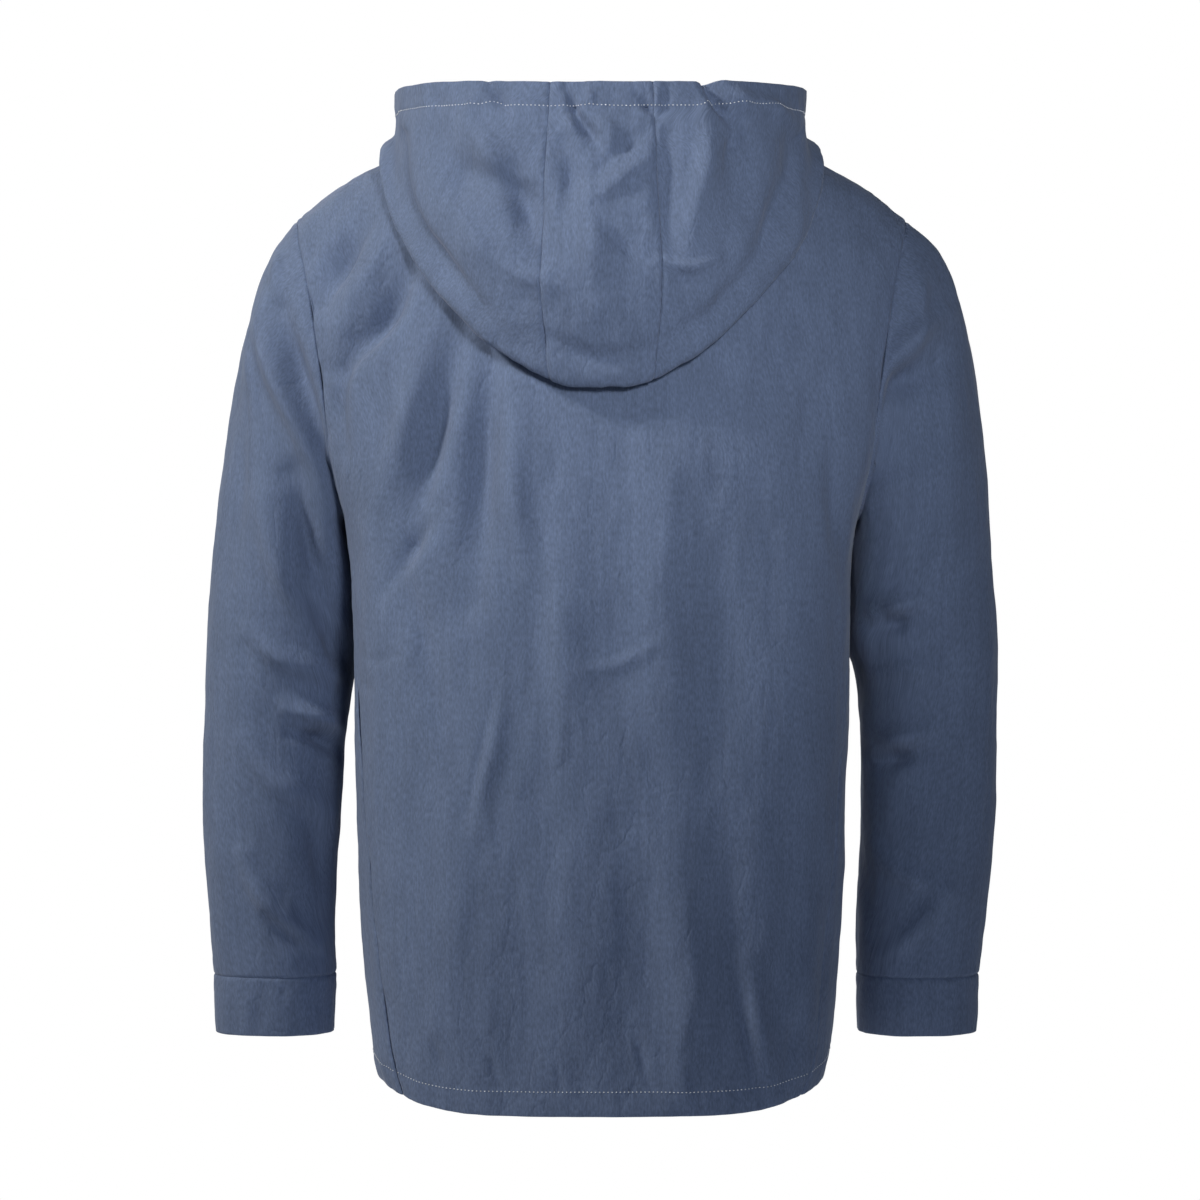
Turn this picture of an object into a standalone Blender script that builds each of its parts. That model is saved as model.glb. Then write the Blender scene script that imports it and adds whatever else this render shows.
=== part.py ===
"""Zip-up hoodie in brushed cloth, filled out as worn, with nobody in it.

Metres, +Z up, +Y behind the wearer, +X on the wearer's left.  The origin is in the middle of the neck
opening, where the wearer holds the garment up.  Every cloth piece is a thin wall on a grid of points.
Neighbours take the same points and the same slant along their seam, and each is held back by half the
seam gap.
"""
import math
from collections import namedtuple

import bmesh
import bpy
from mathutils import Matrix, Vector
from mathutils.bvhtree import BVHTree

# ---- cloth ----
WALL = 0.0024                 # thickness of a cloth wall
SEAM_GAP = 0.0003             # between two pieces sewn together
TAPE_WALL = 0.0012            # zip tape

# ---- body of the garment ----
HEM_HEIGHT = -0.713           # lower edge of the hem, centre back
HEM_RISE = 0.022              # the hem is this much higher at the side seams
HEM_CURVE = 6                 # how late it rises
UNDERARM_HEIGHT = -0.265      # where side seam, sleeve seam and armhole meet
SHOULDER_TIP_HEIGHT = -0.0325  # top of the armhole
SHOULDER_HALF = 0.2375        # half of the shoulder width, tip to tip
NECK_HALF = 0.0895            # half of the neck opening, side to side
NECK_BACK_REACH = 0.066       # neckline behind the origin
NECK_FRONT_REACH = 0.098      # neckline in front of the origin
NECK_POWER = {1: 2.0, -1: 1.5}         # round at the back, 1, and a softer V at the front, -1
SIDE_DEPTH = 0.018            # side seams lie this far behind the origin
RIDGE_DEPTH = -0.010          # shoulder seams lie this far in front of it
SECTION_POWER = 2.6           # 2 is an ellipse, more is squarer
SHOULDER_POWER = {1: 2.15, -1: 1.9}   # how the back, 1, and the chest, -1, round over the shoulder
ARMHOLE_OPENING = 0.075       # how far the armhole opens inward above the underarm, of the half width
ARMHOLE_PACE = 1.6            # how soon it has opened
ARMHOLE_CURVE = 1.2
CLEARANCE = 0.0050            # middle of a wall that lies on the body, from the middle of the body's wall
FIRST_ROW = 0.65              # share of it at the first row past the seam
EDGE_SLANT = 0.75             # a point more aslant than this from its nearest spot is past the body's edge
LEAST_LEAN = 0.6              # most that a wall's edge is stretched where two pieces meet at an angle
FOLD_ROUND = 0.008            # across the lowered hood's bottom fold
STAND_LEAN = 0.001            # how far the hood's stand leans out
HOOD_ROOM = {"inner": 0.0060, "fold": 0.0095, "belly": 0.0150}   # the same, at the lowered hood's layers
ZIP_HALF = 0.0065             # half of the opening between the two front edges

# ---- grid of the walls ----
NECK_COLUMNS = 4              # from the centre line to the top of the shoulder seam
SHOULDER_COLUMNS = 8          # along the shoulder seam
LOWER_ROWS = 15               # hem to underarm
UPPER_ROWS = 10               # underarm to shoulder
SLEEVE_ROWS = 21
HOOD_ROWS = 22
CENTRE_PANEL_COLUMN = 2       # neck column where the centre panel's seam starts
CENTRE_SPLIT = 2              # grid columns of the centre panel for each neck column
SIDE_SPLITS = (4, 4, 3, 3, 2, 1)   # and of a side panel, from the centre panel's seam to the front edge

Edge = namedtuple("Edge", "height half_width")
TORSO_EDGE = (                # side seam, then armhole
    Edge(-0.713, 0.1655),
    Edge(-0.700, 0.1690),
    Edge(-0.686, 0.1730),
    Edge(-0.665, 0.1765),
    Edge(-0.620, 0.1805),
    Edge(-0.540, 0.1855),
    Edge(-0.450, 0.1885),
    Edge(-0.380, 0.1905),
    Edge(-0.330, 0.1915),
    Edge(-0.295, 0.1930),
    Edge(-0.265, 0.1975),
    Edge(-0.225, 0.2050),
    Edge(-0.180, 0.2110),
    Edge(-0.130, 0.2180),
    Edge(-0.080, 0.2265),
    Edge(-0.0325, 0.2375),
)

Depth = namedtuple("Depth", "height back front")
TORSO_DEPTH = (               # centre back and centre front, from the side seam
    Depth(-0.713, 0.119, 0.140),
    Depth(-0.600, 0.121, 0.146),
    Depth(-0.480, 0.120, 0.150),
    Depth(-0.370, 0.120, 0.152),
    Depth(-0.265, 0.121, 0.148),
)

Ridge = namedtuple("Ridge", "half_width height")
SHOULDER_RIDGE = (            # the line over the shoulders, from the neck's middle to the tip
    Ridge(0.0000, 0.056),
    Ridge(0.0450, 0.052),
    Ridge(0.0895, 0.042),
    Ridge(0.1300, 0.029),
    Ridge(0.1700, 0.012),
    Ridge(0.2060, -0.008),
    Ridge(0.2375, -0.0325),
)

Sleeve = namedtuple("Sleeve", "step outer_x outer_z inner_x inner_z middle_y half_depth")
SLEEVE_SECTIONS = (           # from the armhole to the cuff seam
    Sleeve(0.00, 0.2375, -0.0325, 0.1975, -0.265, -0.002, 0.058),
    Sleeve(0.04, 0.2490, -0.0445, 0.2035, -0.265, -0.004, 0.062),
    Sleeve(0.08, 0.2590, -0.0570, 0.2045, -0.269, -0.007, 0.065),
    Sleeve(0.14, 0.2710, -0.0830, 0.2025, -0.278, -0.012, 0.067),
    Sleeve(0.21, 0.2825, -0.1240, 0.1990, -0.291, -0.017, 0.069),
    Sleeve(0.30, 0.2920, -0.1780, 0.1955, -0.309, -0.021, 0.070),
    Sleeve(0.40, 0.3000, -0.2400, 0.1945, -0.333, -0.025, 0.069),
    Sleeve(0.50, 0.3055, -0.3050, 0.1950, -0.364, -0.028, 0.067),
    Sleeve(0.60, 0.3098, -0.3720, 0.1985, -0.402, -0.031, 0.064),
    Sleeve(0.70, 0.3108, -0.4360, 0.2030, -0.448, -0.035, 0.061),
    Sleeve(0.80, 0.3100, -0.5000, 0.2060, -0.503, -0.039, 0.058),
    Sleeve(0.90, 0.3065, -0.5620, 0.2068, -0.562, -0.043, 0.055),
    Sleeve(1.00, 0.3010, -0.6220, 0.2068, -0.622, -0.046, 0.052),
)
Sway = namedtuple("Sway", "step shift")
SLEEVE_SWAY = (               # how far both sleeves hang to the wearer's left
    Sway(0.00, 0.0000),
    Sway(0.06, -0.0030),
    Sway(0.15, -0.0042),
    Sway(0.30, -0.0036),
    Sway(0.45, -0.0015),
    Sway(0.60, 0.0000),
    Sway(1.00, 0.0040),
)
SWAY_BELOW = (0.20, 0.40)     # steps over which the underarm side takes it up
SLEEVE_POWER = 2.25
CAP_END = 0.45                # step by which the armhole's shape has faded out
CUFF_DEPTH = 0.045
CUFF_TAPER = 0.965            # the cuff's lower edge against its seam
CUFF_LEAN = -0.003            # the arm hangs forward
CUFF_ROWS = 3

Hood = namedtuple("Hood", "column angle stand crest_out crest_up inner_reach inner_z "
                          "fold_reach fold_z belly_reach belly_z rim_reach rim_z")
HOOD_SECTIONS = (             # a lengthwise cut through the lowered hood at each neck column
    Hood(0.0, 0, 0.010, 0.016, 0.018, 0.1330, -0.105, 0.153, -0.167, 0.172, -0.082, 0.146, 0.058),
    Hood(2.0, 15, 0.010, 0.016, 0.018, 0.1335, -0.100, 0.154, -0.161, 0.174, -0.080, 0.147, 0.058),
    Hood(2.8, 35, 0.009, 0.016, 0.016, 0.1420, -0.070, 0.165, -0.126, 0.180, -0.056, 0.157, 0.060),
    Hood(3.5, 58, 0.008, 0.016, 0.012, 0.1480, -0.015, 0.174, -0.062, 0.176, -0.018, 0.163, 0.063),
    Hood(4.2, 80, 0.008, 0.016, 0.010, 0.1400, 0.028, 0.168, 0.000, 0.161, 0.030, 0.160, 0.065),
    Hood(5.0, 103, 0.008, 0.015, 0.010, 0.1290, 0.032, 0.153, 0.012, 0.155, 0.034, 0.153, 0.060),
    Hood(6.0, 130, 0.008, 0.013, 0.009, 0.1220, 0.008, 0.141, -0.010, 0.149, 0.010, 0.147, 0.036),
    Hood(7.0, 155, 0.007, 0.010, 0.009, 0.1170, -0.024, 0.127, -0.024, 0.135, -0.011, 0.137, 0.008),
    Hood(8.0, 176, 0.006, 0.006, 0.011, 0.1070, -0.040, 0.113, -0.036, 0.117, -0.027, 0.118, -0.017),
)

# ---- zip ----
TAPE_HALF = 0.0145            # from the middle of the zip to the tape's sewn edge
TAPE_PART = 0.0004            # each tape's inner edge, from the middle
TAPE_GAP = 0.00035            # from the front's inside to the tape's face
TOP_EASE = 0.0004             # more of it where the front curves in to the neck, above the slider
ZIP_TOP_MARGIN = 0.003
ZIP_FOOT_MARGIN = 0.004
TAPE_ROWS_APART = 0.002       # least height between two of a tape's rows
FRAME_REACH = 0.006           # up and down the zip, to find how it slopes
SLIDER_DROP = 0.016           # slider's middle below the neckline, along the zip
SLIDER_LENGTH = 0.0110
SLIDER_HALF = 0.0052
PLATE = 0.0012
PLATE_LIFT = 0.0013           # from the tape's face to the slider's front plate
LUG_HALF = 0.0011
LUG_HEIGHT = 0.0026           # clear height under the lug
LUG_BAR = 0.0009
PULL_LENGTH = 0.0260
PULL_HALF = 0.0032
PULL_WALL = 0.0012
PULL_LIFT = 0.0014            # hinge line above the front plate
POST_HALF = 0.0010
POST_LENGTH = 0.0022
POST_MARGIN = 0.0004          # from the slider's top end to its post
SLIDER_TAPER = 0.8            # the lower end's half width, of the upper end's
PULL_TAPER = 0.9
LUG_LOW = -0.0036             # the lug's two ends along the slider
LUG_TOP = 0.0034
PIVOT_UP = 0.0008             # the pull's hinge line, from the slider's middle
PULL_WINDOW = 0.0018
WINDOW_LENGTH = 0.0062
BOX_HALF = 0.0050
BOX_HEIGHT = 0.0110
BOX_WALL = 0.0012
BOX_ROOM = 0.0004

# ---- largest folds: where they run across the view from behind or in front, metres ----
FOLD_FACING = 1.6             # how soon a fold fades where the cloth turns away from its side
FOLD_END = 0.35               # share of its depth at a fold's two ends
Fold = namedtuple("Fold", "side path width depth")
BACK, FRONT = 1, -1
BODY_FOLDS = (
    Fold(BACK, ((0.178, -0.045), (0.212, -0.095)), 0.012, -0.0045),
    Fold(BACK, ((0.143, -0.075), (0.163, -0.112), (0.198, -0.148)), 0.013, -0.0055),
    Fold(BACK, ((0.105, -0.118), (0.120, -0.180), (0.146, -0.285)), 0.014, -0.0060),
    Fold(BACK, ((0.083, -0.140), (0.090, -0.250), (0.096, -0.330)), 0.014, -0.0050),
    Fold(BACK, ((0.028, -0.270), (0.032, -0.330), (0.022, -0.440)), 0.020, 0.0050),
    Fold(BACK, ((-0.084, -0.250), (-0.084, -0.330), (-0.096, -0.520)), 0.022, -0.0060),
    Fold(BACK, ((-0.044, -0.190), (-0.048, -0.280), (-0.040, -0.400)), 0.022, 0.0045),
    Fold(BACK, ((-0.140, -0.200), (-0.150, -0.330), (-0.140, -0.500)), 0.020, 0.0045),
    Fold(FRONT, ((0.150, -0.120), (0.120, -0.200), (0.075, -0.300)), 0.016, -0.0050),
    Fold(FRONT, ((0.090, -0.300), (0.100, -0.420), (0.085, -0.600)), 0.020, -0.0055),
    Fold(FRONT, ((-0.155, -0.110), (-0.130, -0.200), (-0.090, -0.270)), 0.016, -0.0055),
    Fold(FRONT, ((-0.075, -0.340), (-0.090, -0.460), (-0.105, -0.620)), 0.020, -0.0050),
)
SLEEVE_FOLDS = (
    Fold(BACK, ((0.262, -0.100), (0.252, -0.160), (0.226, -0.215)), 0.010, 0.0050),
    Fold(BACK, ((0.242, -0.135), (0.224, -0.170)), 0.009, -0.0050),
    Fold(BACK, ((0.228, -0.240), (0.220, -0.290), (0.224, -0.340)), 0.011, -0.0060),
    Fold(BACK, ((0.236, -0.420), (0.216, -0.425), (0.200, -0.436)), 0.009, 0.0045),
    Fold(BACK, ((0.276, -0.528), (0.262, -0.560), (0.230, -0.596)), 0.010, 0.0045),
    Fold(BACK, ((-0.208, -0.150), (-0.238, -0.125), (-0.262, -0.108)), 0.010, 0.0050),
    Fold(BACK, ((-0.216, -0.170), (-0.246, -0.152)), 0.010, -0.0050),
    Fold(BACK, ((-0.222, -0.332), (-0.246, -0.328)), 0.009, 0.0040),
    Fold(BACK, ((-0.224, -0.440), (-0.252, -0.428)), 0.009, 0.0040),
    Fold(FRONT, ((0.215, -0.215), (0.250, -0.190), (0.280, -0.180)), 0.011, 0.0045),
    Fold(FRONT, ((0.215, -0.400), (0.250, -0.412), (0.285, -0.405)), 0.011, -0.0045),
    Fold(FRONT, ((-0.215, -0.235), (-0.250, -0.205), (-0.280, -0.200)), 0.011, 0.0045),
    Fold(FRONT, ((-0.215, -0.420), (-0.250, -0.430), (-0.285, -0.415)), 0.011, -0.0045),
)
HOOD_FOLDS = (
    Fold(BACK, ((0.060, 0.000), (0.045, -0.040), (0.052, -0.070)), 0.014, -0.0060),
    Fold(BACK, ((-0.076, 0.040), (-0.078, -0.010), (-0.073, -0.050)), 0.012, 0.0045),
    Fold(BACK, ((-0.028, 0.010), (-0.004, -0.008)), 0.012, -0.0040),
    Fold(BACK, ((-0.100, 0.035), (-0.104, -0.020), (-0.092, -0.070)), 0.014, -0.0050),
    Fold(BACK, ((0.130, 0.020), (0.118, -0.030), (0.085, -0.080)), 0.013, -0.0040),
)


# ---- reading the tables ----
def read(rows, at, column):
    """The smooth value of a table's column where its first column is `at`."""
    places = [row[0] for row in rows]
    values = [getattr(row, column) for row in rows]
    last = len(rows) - 1
    at = min(max(at, places[0]), places[last])
    low = 0
    while low < last - 1 and at > places[low + 1]:
        low += 1

    def slope(index):
        before, after = max(index - 1, 0), min(index + 1, last)
        return (values[after] - values[before]) / (places[after] - places[before])

    span = places[low + 1] - places[low]
    part = (at - places[low]) / span
    rest = 1.0 - part
    return (values[low] * rest * rest * (1.0 + 2.0 * part)
            + slope(low) * span * part * rest * rest
            + values[low + 1] * part * part * (1.0 + 2.0 * rest)
            - slope(low + 1) * span * rest * part * part)


def partner(share, power):
    """The other coordinate of a unit superellipse."""
    return (1.0 - min(share, 1.0) ** power) ** (1.0 / power)


def turn(degrees, power):
    """A unit superellipse's two coordinates at an angle."""
    across, up = math.cos(math.radians(degrees)), math.sin(math.radians(degrees))
    size = (abs(across) ** power + abs(up) ** power) ** (-1.0 / power)
    return across * size, up * size


# ---- folds ----
def fold_shift(point, normal, folds):
    """How far the cloth stands out at a point, from the folds that pass near it."""
    shift = 0.0
    for fold in folds:
        facing = min(max(normal.y * fold.side * FOLD_FACING, 0.0), 1.0)
        if facing == 0.0:
            continue
        nearest, along, total = 1.0, 0.0, 0.0
        for start, end in zip(fold.path, fold.path[1:]):
            run = Vector(end) - Vector(start)
            gap = Vector((point.x, point.z)) - Vector(start)
            part = min(max(gap.dot(run) / run.length_squared, 0.0), 1.0)
            away = (gap - run * part).length
            if away < nearest:
                nearest, along = away, total + part * run.length
            total += run.length
        taper = FOLD_END + (1.0 - FOLD_END) * math.sin(math.pi * min(max(along / total, 0.0), 1.0))
        shift += fold.depth * facing * taper * math.exp(-(nearest / fold.width) ** 2)
    return shift


# ---- torso ----
def column_share(column, side):
    """How far a column lies out from the centre line, as a share of the way to the side."""
    top = math.asin(NECK_HALF / SHOULDER_HALF)
    if column <= NECK_COLUMNS and side == FRONT:
        return math.sin(top) * math.sin(math.pi / 2 * column / NECK_COLUMNS)
    if column <= NECK_COLUMNS:
        angle = top * column / NECK_COLUMNS
    else:
        angle = top + (math.pi / 2 - top) * (column - NECK_COLUMNS) / SHOULDER_COLUMNS
    return math.sin(angle)


def armhole_share(lift):
    """The armhole's edge on a unit section: at the side seam below, opening above the underarm."""
    return 1.0 - ARMHOLE_OPENING * math.sin(math.radians(min(lift * ARMHOLE_PACE, 90.0))) ** ARMHOLE_CURVE


def neck_reach(share, side):
    """How far the neckline lies behind or in front of the shoulder seam."""
    full = (NECK_BACK_REACH if side == BACK else NECK_FRONT_REACH) + side * -RIDGE_DEPTH
    return full * partner(share, NECK_POWER[side])


def torso_point(column, row, side, inner_edge=0.0):
    """A point of the body at a grid column and row; inner_edge is where column 0 lies."""
    share = column_share(column, side)
    shoulder_x = SHOULDER_HALF * share
    if inner_edge:
        shoulder_x = max(shoulder_x, inner_edge)
        share = (shoulder_x - inner_edge) / (SHOULDER_HALF - inner_edge)
    depth_column = "back" if side == BACK else "front"
    if row <= LOWER_ROWS:
        hem = HEM_HEIGHT + HEM_RISE * share ** HEM_CURVE
        height = hem + (UNDERARM_HEIGHT - hem) * row / LOWER_ROWS
        edge = read(TORSO_EDGE, height, "half_width")
        x = inner_edge + (edge - inner_edge) * share
        depth = read(TORSO_DEPTH, height, depth_column)
        y = SIDE_DEPTH + side * depth * partner(x / edge, SECTION_POWER)
        return Vector((x, y, height))
    ridge = read(SHOULDER_RIDGE, shoulder_x, "height")
    part = (row - LOWER_ROWS) / UPPER_ROWS
    depth = read(TORSO_DEPTH, UNDERARM_HEIGHT, depth_column)
    top = 90.0
    if shoulder_x < NECK_HALF - 1e-6:
        plan = abs(SIDE_DEPTH + side * depth * partner(share, SECTION_POWER) - RIDGE_DEPTH)
        cut = min(neck_reach(shoulder_x / NECK_HALF, side) / plan, 1.0)
        top = math.degrees(math.atan2(partner(cut, SHOULDER_POWER[side]), cut))
    lift = top * part
    closing, rising = turn(lift, SHOULDER_POWER[side])
    edge_height = UNDERARM_HEIGHT + (SHOULDER_TIP_HEIGHT - UNDERARM_HEIGHT) * rising
    edge = read(TORSO_EDGE, edge_height, "half_width")
    x = inner_edge + (edge - inner_edge) * share
    plan = SIDE_DEPTH + side * depth * partner(x / edge * armhole_share(lift), SECTION_POWER)
    y = RIDGE_DEPTH + (plan - RIDGE_DEPTH) * closing
    return Vector((x, y, UNDERARM_HEIGHT + (ridge - UNDERARM_HEIGHT) * rising))


def mirrored(point, hand):
    return Vector((point.x * hand, point.y, point.z))


def back_grid():
    edge = NECK_COLUMNS + SHOULDER_COLUMNS
    return [[mirrored(torso_point(abs(column), row, BACK), 1 if column > 0 else -1)
             for column in range(-edge, edge + 1)] for row in range(LOWER_ROWS + UPPER_ROWS + 1)]


def front_grid(hand):
    edge = NECK_COLUMNS + SHOULDER_COLUMNS
    return [[mirrored(torso_point(column, row, FRONT, ZIP_HALF), hand)
             for column in range(edge + 1)] for row in range(LOWER_ROWS + UPPER_ROWS + 1)]


def faces_of(grid):
    """The grid's points and quads, for measuring distances to it."""
    wide = len(grid[0])
    points = [point for row in grid for point in row]
    corners = [row * wide + column for row in range(len(grid) - 1) for column in range(wide - 1)]
    quads = [(low, low + 1, low + wide + 1, low + wide) for low in corners]
    return points, quads


def body_surface():
    """The outside of the body, for what lies on it: the back and both fronts."""
    points, quads = [], []
    for grid in (back_grid(), front_grid(1), front_grid(-1)):
        own_points, own_quads = faces_of(grid)
        turned = faces_inward(grid, False)
        for quad in own_quads:
            quad = quad[::-1] if turned else quad
            quads.append([index + len(points) for index in quad])
        points += own_points
    return BVHTree.FromPolygons(points, quads)


def clear_of_body(point, body, room):
    """The point, moved out until it has this much room to the body; past the body's edges it stays."""
    spot, normal, _, away = body.find_nearest(point)
    out = (point - spot).dot(normal)
    beyond_edge = away > 1e-5 and abs(out) < EDGE_SLANT * away
    if beyond_edge or out >= room:
        return point
    return point + normal * (room - out)


def settled(grid, body):
    """A piece laid on the body: clear of it everywhere but at its first row, where it is sewn."""
    rows = [grid[0]]
    for row, points in enumerate(grid[1:]):
        room = CLEARANCE * (FIRST_ROW if row == 0 else 1.0)
        rows.append([clear_of_body(point, body, room) for point in points])
    return rows


# ---- sleeves ----
def armhole_point(index):
    """Points round the armhole, from the underarm up the back, over the shoulder and down the front."""
    edge = NECK_COLUMNS + SHOULDER_COLUMNS
    if index <= UPPER_ROWS:
        return torso_point(edge, LOWER_ROWS + index, BACK)
    return torso_point(edge, LOWER_ROWS + 2 * UPPER_ROWS - index, FRONT, ZIP_HALF)


def sleeve_section(index, step):
    row = {name: read(SLEEVE_SECTIONS, step, name) for name in Sleeve._fields[1:]}
    inward, backward = turn(180.0 * index / UPPER_ROWS, SLEEVE_POWER)
    outer = Vector((row["outer_x"], row["middle_y"], row["outer_z"]))
    inner = Vector((row["inner_x"], row["middle_y"], row["inner_z"]))
    middle, reach = (outer + inner) / 2, (inner - outer) / 2
    return middle + reach * inward + Vector((0.0, row["half_depth"] * backward, 0.0))


def sleeve_point(index, step):
    fading = max(1.0 - step / CAP_END, 0.0) ** 2
    return sleeve_section(index, step) + (armhole_point(index) - sleeve_section(index, 0.0)) * fading


def sway(index, step):
    """The sideways hang; near the armhole only the top of the sleeve has it."""
    top = ((1.0 - math.cos(math.pi * index / UPPER_ROWS)) / 2) ** 2
    share = top + (1.0 - top) * min(max((step - SWAY_BELOW[0]) / (SWAY_BELOW[1] - SWAY_BELOW[0]), 0.0), 1.0)
    return Vector((read(SLEEVE_SWAY, step, "shift") * share, 0.0, 0.0))


def sleeve_ring(hand, step):
    return [mirrored(sleeve_point(index % (2 * UPPER_ROWS), step), hand) + sway(index, step)
            for index in range(2 * UPPER_ROWS + 1)]


def sleeve_grid(hand):
    return [sleeve_ring(hand, row / SLEEVE_ROWS) for row in range(SLEEVE_ROWS + 1)]


def cuff_grid(hand):
    seam = sleeve_ring(hand, 1.0)
    middle = (seam[0] + seam[UPPER_ROWS]) / 2
    rows = []
    for row in range(CUFF_ROWS + 1):
        part = row / CUFF_ROWS
        size = 1.0 + (CUFF_TAPER - 1.0) * part * part
        drop = Vector((0.0, CUFF_LEAN * part, -CUFF_DEPTH * part))
        rows.append([middle + (point - middle) * size + drop for point in seam])
    return rows


# ---- hood ----
def neck_point(column):
    """The neckline from the centre back, column 0, over the shoulder seam, to the centre front."""
    top_row = LOWER_ROWS + UPPER_ROWS
    if column <= NECK_COLUMNS:
        return torso_point(column, top_row, BACK)
    return torso_point(2 * NECK_COLUMNS - column, top_row, FRONT, ZIP_HALF)


def neck_between(column):
    low = min(int(column), 2 * NECK_COLUMNS - 1)
    return neck_point(low).lerp(neck_point(low + 1), column - low)


def hood_profile(column, body):
    """The control points of one cut: neck seam, stand, crest, inner wall, fold, belly and rim."""
    section = {name: read(HOOD_SECTIONS, column, name) for name in Hood._fields[1:]}
    start = neck_between(column)
    outward = Vector((start.x, start.y, 0.0)).normalized()
    angle = math.radians(section["angle"])
    bearing = Vector((math.sin(angle), math.cos(angle), 0.0))

    def layer(name):
        point = bearing * section[name + "_reach"] + Vector((0.0, 0.0, section[name + "_z"]))
        return clear_of_body(point, body, HOOD_ROOM[name]) if name in HOOD_ROOM else point

    lift = Vector((0.0, 0.0, 1.0))
    outer_fold = layer("fold")
    bend = FOLD_ROUND * min((2 * NECK_COLUMNS - column) / 2, 1.0)
    inner_fold = clear_of_body(outer_fold - bearing * bend, body, HOOD_ROOM["inner"])
    stand = start + lift * section["stand"] + outward * STAND_LEAN
    crest = start + lift * section["crest_up"] + outward * section["crest_out"]
    return [start, stand, crest, layer("inner"), inner_fold, outer_fold + lift * bend / 2, layer("belly"),
            layer("rim")]


def spline(points, part):
    """A smooth curve through the points, at an equal pace along its length."""
    lengths = [0.0]
    for start, end in zip(points, points[1:]):
        lengths.append(lengths[-1] + (end - start).length ** 0.75)
    at = lengths[-1] * part
    low = 0
    while low < len(points) - 2 and at > lengths[low + 1]:
        low += 1

    def slope(index):
        before, after = max(index - 1, 0), min(index + 1, len(points) - 1)
        return (points[after] - points[before]) / (lengths[after] - lengths[before])

    span = lengths[low + 1] - lengths[low]
    share = (at - lengths[low]) / span
    rest = 1.0 - share
    return (points[low] * (rest * rest * (1.0 + 2.0 * share))
            + slope(low) * (span * share * rest * rest)
            + points[low + 1] * (share * share * (1.0 + 2.0 * rest))
            - slope(low + 1) * (span * rest * share * share))


def hood_rows(columns, hand, body):
    cuts = [hood_profile(column, body) for column in columns]
    return [[mirrored(spline(cut, row / HOOD_ROWS), hand) for cut in cuts] for row in range(HOOD_ROWS + 1)]


def hood_center_grid(body):
    half = CENTRE_SPLIT * CENTRE_PANEL_COLUMN
    rows = hood_rows([abs(index) / CENTRE_SPLIT for index in range(-half, half + 1)], 1, body)
    for row in rows:
        for index in range(half):
            row[index].x = -row[index].x
    return rows


def hood_side_grid(hand, body):
    columns = [CENTRE_PANEL_COLUMN + segment + part / split
               for segment, split in enumerate(SIDE_SPLITS) for part in range(split)]
    return hood_rows(columns + [2 * NECK_COLUMNS], hand, body)


def neck_marks(splits):
    """The hood's grid columns that start on a corner of the neckline."""
    marks = [0]
    for split in splits:
        marks.append(marks[-1] + split)
    return marks


# ---- walls ----
def grid_normal(grid, row, column, closed):
    last_row, last_column = len(grid) - 1, len(grid[0]) - 1
    if closed:
        left, right = (column - 1) % last_column, (column + 1) % last_column
    else:
        left, right = max(column - 1, 0), min(column + 1, last_column)
    across = grid[row][right] - grid[row][left]
    up = grid[min(row + 1, last_row)][column] - grid[max(row - 1, 0)][column]
    return across.cross(up).normalized()


def outward_grid(grid, closed, flip):
    sign = -1.0 if flip else 1.0
    return [[grid_normal(grid, row, column, closed) * sign for column in range(len(grid[0]))]
            for row in range(len(grid))]


def faces_inward(grid, closed):
    """Whether the grid's normals point to the hollow that it goes round."""
    row = len(grid) * 3 // 4
    column = 0 if closed else len(grid[0]) // 2
    hollow = Vector((0.0, 0.0, grid[row][column].z))
    if closed:
        hollow = sum(grid[row][:-1], Vector()) / (len(grid[row]) - 1)
    return grid_normal(grid, row, column, closed).dot(grid[row][column] - hollow) < 0.0


def place_key(point):
    return tuple(round(value, 5) for value in point)


class Cloth:
    """One cut piece: its grid of middle points, and which of its edges are sewn."""

    def __init__(self, name, grid, folds=(), closed=False, sewn=(), marks=()):
        self.name, self.grid, self.folds = name, grid, folds
        self.closed, self.sewn, self.marks = closed, sewn, marks
        self.flip = faces_inward(grid, closed)
        self.normals = outward_grid(grid, closed, self.flip)

    def fold_cloth(self, shared):
        """Raise and sink the folds; a seam with a piece that folds otherwise stays where it is."""
        for row in self.grid:
            for column, point in enumerate(row):
                meeting = shared[place_key(point)]
                if all(piece.folds is self.folds for piece, _ in meeting):
                    normal = slant_of(meeting)
                    row[column] = point + normal * fold_shift(point, normal, self.folds)
        self.normals = outward_grid(self.grid, self.closed, self.flip)


def meeting_points(pieces):
    """For every point, the pieces that meet there and the way each one faces."""
    shared = {}
    for piece in pieces:
        for point_row, normal_row in zip(piece.grid, piece.normals):
            for point, normal in zip(point_row, normal_row):
                shared.setdefault(place_key(point), []).append((piece, normal))
    return shared


def slant_of(meeting):
    return sum((normal for _, normal in meeting), Vector()).normalized()


def straightened(places, marks):
    """Points between two marks, moved on to the straight line between them."""
    for low, high in zip(marks, marks[1:]):
        for index in range(low + 1, high):
            places[index] = places[low].lerp(places[high], (index - low) / (high - low))


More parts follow.
